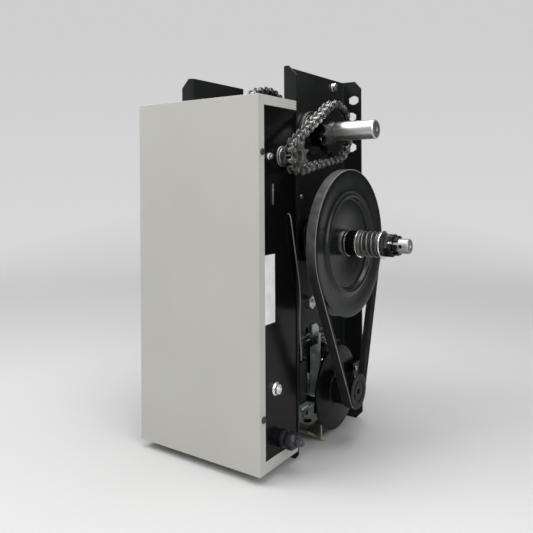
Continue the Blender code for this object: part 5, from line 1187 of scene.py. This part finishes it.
def build_brake_trim():
    """Painted highlights on the bracket's edges, a lip in painted shade, small fixings, the plug and the lead
    sleeve that show in the brake's bay.
    """
    bracket = high("brake_bracket").x
    blade = low("brake_caliper").y - 51.5
    caliper = high("brake_caliper").x
    foot = high("motor_cradle").x

    # Bright strips on the blade's outer edge and the lip's top edge: painted highlights where these edges
    # catch the light.
    def edges(shape):
        box_into(shape, (94.9, blade - 2.6, 66.0), (95.2, blade + 0.1, 149.6))
        box_into(shape, (84.0, -134.9, 72.4), (104.0, -133.9, 74.0), 0.2)
    piece("bracket_edge_highlights", BRIGHT_ZINC, "frame", edges)

    # The lip is black as painted shade under its bright top edge.
    def lip(shape):
        box_into(shape, (84.0, -134.8, 64.4), (104.0, -134.0, 72.5))
        lathe_into(shape, tube(76.2, 76.9, 0.0, 8.0), (-112.5, 152.6), 24)
    piece("bracket_lip", HUB_BLACK, "frame", lip)

    def fixings(shape):
        lathe_into(shape, tube(bracket - 5.6, bracket - 4.6, 2.0, 4.0), (-88.0, 138.5), 20, True, 0.2)
        for z in (74.0, 90.0):
            bolt_into(shape, caliper, (-46.0, z), 6.0, 2.6)
        bolt_into(shape, WEB_FACE, (-23.6, 118.0), 8.0, 3.0)
    piece("brake_fixings", DULL_ZINC, "frame", fixings)

    lathe("motor_lead_sleeve", [
        (60.0, 0.0), (60.0, 10.0), (58.0, 11.0), (-53.0, 11.0), (-55.0, 10.0), (-55.0, 0.0),
    ], (-30.0, 125.0), BLACK_PLASTIC, "frame", "rubber", 32)

    def tab(shape):
        box_into(shape, (foot - 0.1, -105.2, 3.0), (foot + 0.5, -102.6, 24.0))
        corners = [(foot + 0.4, 3.0), (foot + 7.0, 3.0), (foot + 0.4, 10.0)]
        rear, front = ([shape.verts.new((x, y, z)) for x, z in corners] for y in (-102.6, -105.2))
        shape.faces.new(rear)
        shape.faces.new(front)
        for k in range(3):
            j = (k + 1) % 3
            shape.faces.new((rear[k], rear[j], front[j], front[k]))
    piece("cradle_tab", YELLOW_ZINC, "frame", tab)


# CAD nodes that keep their own shape

# Each has its material and the width in millimetres of its softened edges.
KEPT = {
    "side_plate_right": (FRAME_BLACK, 0.35), "side_plate_left": (FRAME_BLACK, 0.35),
    "control_box": (BOX_BLACK, 0.3), "front_cover": (COVER_GREY, 0.45), "tie_rod": (BRIGHT_ZINC, 0.4),
    "component_plate": (BRIGHT_ZINC, 0.2), "limit_bracket": (ZINC, 0.2), "nut_retainer": (ZINC, 0.2),
    "limit_nut_open": (BRIGHT_ZINC, 0.3), "limit_nut_close": (BRIGHT_ZINC, 0.3),
    "switch_lever_open": (BRIGHT_ZINC, 0.1), "switch_lever_close": (BRIGHT_ZINC, 0.1),
    # The limit shaft is dark steel as painted shade: its end sits sunk in the small sprocket's bore.
    "limit_shaft": (DARK_STEEL, 0.3), "transformer": (DARK_STEEL, 0.4), "control_board": (BOARD, 0.2),
    "solenoid_frame": (BLUED_STEEL, 0.2), "brake_plunger": (BLUED_STEEL, 0.2),
    "solenoid_coil": (WINDING, 0.6), "solenoid_lead": (LEAD_GREY, 0.0), "brake_bracket": (SATIN_ZINC, 0.25),
    "brake_lever": (BOX_BLACK, 0.3), "brake_caliper": (DISC_BLACK, 0.8), "brake_pad": (LINING, 0.3),
    # The motor cradle's dark zinc is painted shade.
    "motor_cradle": (SHADED_YELLOW_ZINC, 0.3), "reversing_contactor": (BLACK_PLASTIC, 0.6),
    "limit_switch_open": (BLACK_PLASTIC, 0.3), "limit_switch_close": (BLACK_PLASTIC, 0.3),
}


def dress_kept_nodes():
    for name, (material, edge) in KEPT.items():
        cad = NODES[name]
        mesh = cad.data
        if "custom_normal" in mesh.attributes:
            mesh.attributes.remove(mesh.attributes["custom_normal"])
        mesh.materials.clear()
        mesh.materials.append(material)
        mesh.shade_smooth()
        mesh.set_sharp_from_angle(angle=radians(30))
        if not edge:
            continue
        weld = cad.modifiers.new("weld", "WELD")
        weld.merge_threshold = 0.00001
        if name.startswith("side_plate"):
            flat = cad.modifiers.new("flat", "DECIMATE")
            flat.decimate_type = "DISSOLVE"
            flat.angle_limit = radians(0.5)
        rounding = cad.modifiers.new("edges", "BEVEL")
        rounding.width = edge * MM
        rounding.segments = 2
        rounding.limit_method = "ANGLE"
        rounding.angle_limit = radians(40)
        rounding.harden_normals = True
        rounding.use_clamp_overlap = True


# Studio

CAMERA_YAW = 34.33
CAMERA_PITCH = 0.32
CAMERA_ROLL = -0.31
CAMERA_SPOT = (496.8, -821.4, 356.9)
FOCAL_PIXELS = 595.97
FRAME_PIXELS = 533.0
CENTRE_PIXELS = (266.27, 185.69)
SENSOR = 36.0
FADE_START = 0.7
FADE_END = 2.2
FADE_HEIGHT = 1.2
DARK_START = 0.64
DARK_END = 0.96
PAPER_WHITE = 0.6
NEAR_GREY = 0.69
FAR_GREY = 0.62
AMBIENT = 0.23
DARK_SIDE = 0.07
FLOOR_HALF_WIDTH = 2.15
FLOOR_FRONT = -6.0
FLOOR_BACK = 2.6
SWEEP_RADIUS = 1.2
SWEEP_STEPS = 12
BACKDROP_TOP = 5.0


def seen_directly(tree):
    """1 for what the camera sees, straight or by way of metal and glass."""
    path = node(tree, "LightPath")
    total = path.outputs["Is Camera Ray"]
    for ray in ("Is Glossy Ray", "Is Transmission Ray"):
        either = node(tree, "Math", operation="MAXIMUM")
        tree.links.new(total, either.inputs[0])
        tree.links.new(path.outputs[ray], either.inputs[1])
        total = either.outputs["Value"]
    return total


def paper():
    """White paper that holds the shadow near the object and fades to an even grey further out."""
    material, tree, shader = principled("studio_paper", (PAPER_WHITE,) * 3, 0.85, specular=0.2)
    source = node(tree, "TexCoord").outputs["Object"]
    reach = node(tree, "VectorMath", operation="LENGTH", Vector=source)
    far = spread(tree, reach.outputs["Value"], 0.0, 1.0, FADE_START, FADE_END)
    amount = node(tree, "Math", operation="MULTIPLY")
    tree.links.new(far, amount.inputs[0])
    tree.links.new(seen_directly(tree), amount.inputs[1])
    height = node(tree, "SeparateXYZ", Vector=source)
    share = spread(tree, height.outputs["Z"], 0.0, 1.0, 0.0, FADE_HEIGHT)
    grey = ramp(tree, share, [(0.0, (NEAR_GREY,) * 3), (1.0, (FAR_GREY,) * 3)])
    glow = node(tree, "Emission", Color=grey)
    mix = node(tree, "MixShader", Fac=amount.outputs["Value"])
    tree.links.new(shader.outputs["BSDF"], mix.inputs[1])
    tree.links.new(glow.outputs["Emission"], mix.inputs[2])
    output = tree.nodes["Material Output"]
    tree.links.new(mix.outputs["Shader"], output.inputs["Surface"])
    return material


def build_stage():
    shape = bmesh.new()
    sweep_start = FLOOR_BACK - SWEEP_RADIUS
    curve = [(FLOOR_FRONT, 0.0), (sweep_start, 0.0)]
    for k in range(1, SWEEP_STEPS + 1):
        angle = pi / 2 * k / SWEEP_STEPS
        curve.append((sweep_start + SWEEP_RADIUS * sin(angle), SWEEP_RADIUS * (1 - cos(angle))))
    curve.append((FLOOR_BACK, BACKDROP_TOP))
    left, right = (
        [shape.verts.new((x, y, z)) for y, z in curve] for x in (-FLOOR_HALF_WIDTH, FLOOR_HALF_WIDTH)
    )
    for i in range(len(curve) - 1):
        shape.faces.new((left[i], right[i], right[i + 1], left[i + 1]))
    bmesh.ops.recalc_face_normals(shape, faces=shape.faces)
    mesh = take_mesh(shape, "studio_floor")
    mesh.shade_smooth()
    mesh.materials.append(paper())
    floor = add_object("studio_floor", mesh)
    floor.rotation_euler = (0.0, 0.0, radians(CAMERA_YAW))


def build_lights():
    """A pale room with a side that metal and gloss show darker, and three soft lamps."""
    world = bpy.data.worlds.new("studio")
    bpy.context.scene.world = world
    world.use_nodes = True
    tree = world.node_tree
    background = tree.nodes["Background"]
    background.inputs["Color"].default_value = (1.0, 1.0, 1.0, 1.0)
    source = node(tree, "TexCoord").outputs["Generated"]
    towards = node(tree, "VectorMath", operation="DOT_PRODUCT", Vector=source)
    towards.inputs[1].default_value = (sin(radians(CAMERA_YAW)), cos(radians(CAMERA_YAW)), 0.0)
    seen = spread(tree, towards.outputs["Value"], FAR_GREY, DARK_SIDE, DARK_START, DARK_END)
    mix = node(tree, "Mix", Factor=seen_directly(tree), A=AMBIENT, B=seen)
    camera_ray = node(tree, "LightPath").outputs["Is Camera Ray"]
    plain = node(tree, "Mix", Factor=camera_ray, A=mix.outputs["Result"], B=FAR_GREY)
    tree.links.new(plain.outputs["Result"], background.inputs["Strength"])
    for name, spot, aim, size, power in (
        ("key", (-950.0, -1200.0, 1800.0), (0.0, -100.0, 250.0), 1.3, 29.0),
        ("fill", (1300.0, -900.0, 900.0), (0.0, -100.0, 250.0), 1.2, 11.0),
        ("top", (200.0, -150.0, 1700.0), (0.0, -100.0, 200.0), 1.2, 20.0),
    ):
        lamp = bpy.data.lights.new(name, "AREA")
        lamp.shape = "SQUARE"
        lamp.size = size
        lamp.energy = power
        holder = add_object(name, lamp)
        holder.location = place(*spot)
        holder.rotation_euler = (place(*aim) - holder.location).to_track_quat("-Z", "Y").to_euler()


def build_camera():
    yaw, pitch, roll = (radians(a) for a in (CAMERA_YAW, CAMERA_PITCH, CAMERA_ROLL))
    forward = Vector((-sin(yaw) * cos(pitch), cos(yaw) * cos(pitch), -sin(pitch)))
    level = Vector((cos(yaw), sin(yaw), 0.0))
    upright = level.cross(forward)
    right = level * cos(roll) + upright * sin(roll)
    up = upright * cos(roll) - level * sin(roll)
    data = bpy.data.cameras.new("camera")
    data.sensor_width = SENSOR
    data.lens = SENSOR * FOCAL_PIXELS / FRAME_PIXELS
    data.shift_x = 0.5 - CENTRE_PIXELS[0] / FRAME_PIXELS
    data.shift_y = CENTRE_PIXELS[1] / FRAME_PIXELS - 0.5
    data.clip_start = 0.01
    data.clip_end = 60.0
    camera = add_object("camera", data)
    turn = Matrix((right, up, -forward)).transposed().to_4x4()
    camera.matrix_world = Matrix.Translation(place(*CAMERA_SPOT)) @ turn
    bpy.context.scene.camera = camera


bpy.context.scene.view_settings.view_transform = "Standard"
build_camera()
build_lights()
build_stage()
dress_kept_nodes()
build_chain_drives()
build_shafts()
build_bearings()
build_clutch()
build_belt()
build_motor_drive()
build_motor()
build_frame_fixings()
build_box_fixings()
build_cover_screws()
build_brake_trim()
build_board_parts()

bpy.context.view_layer.update()
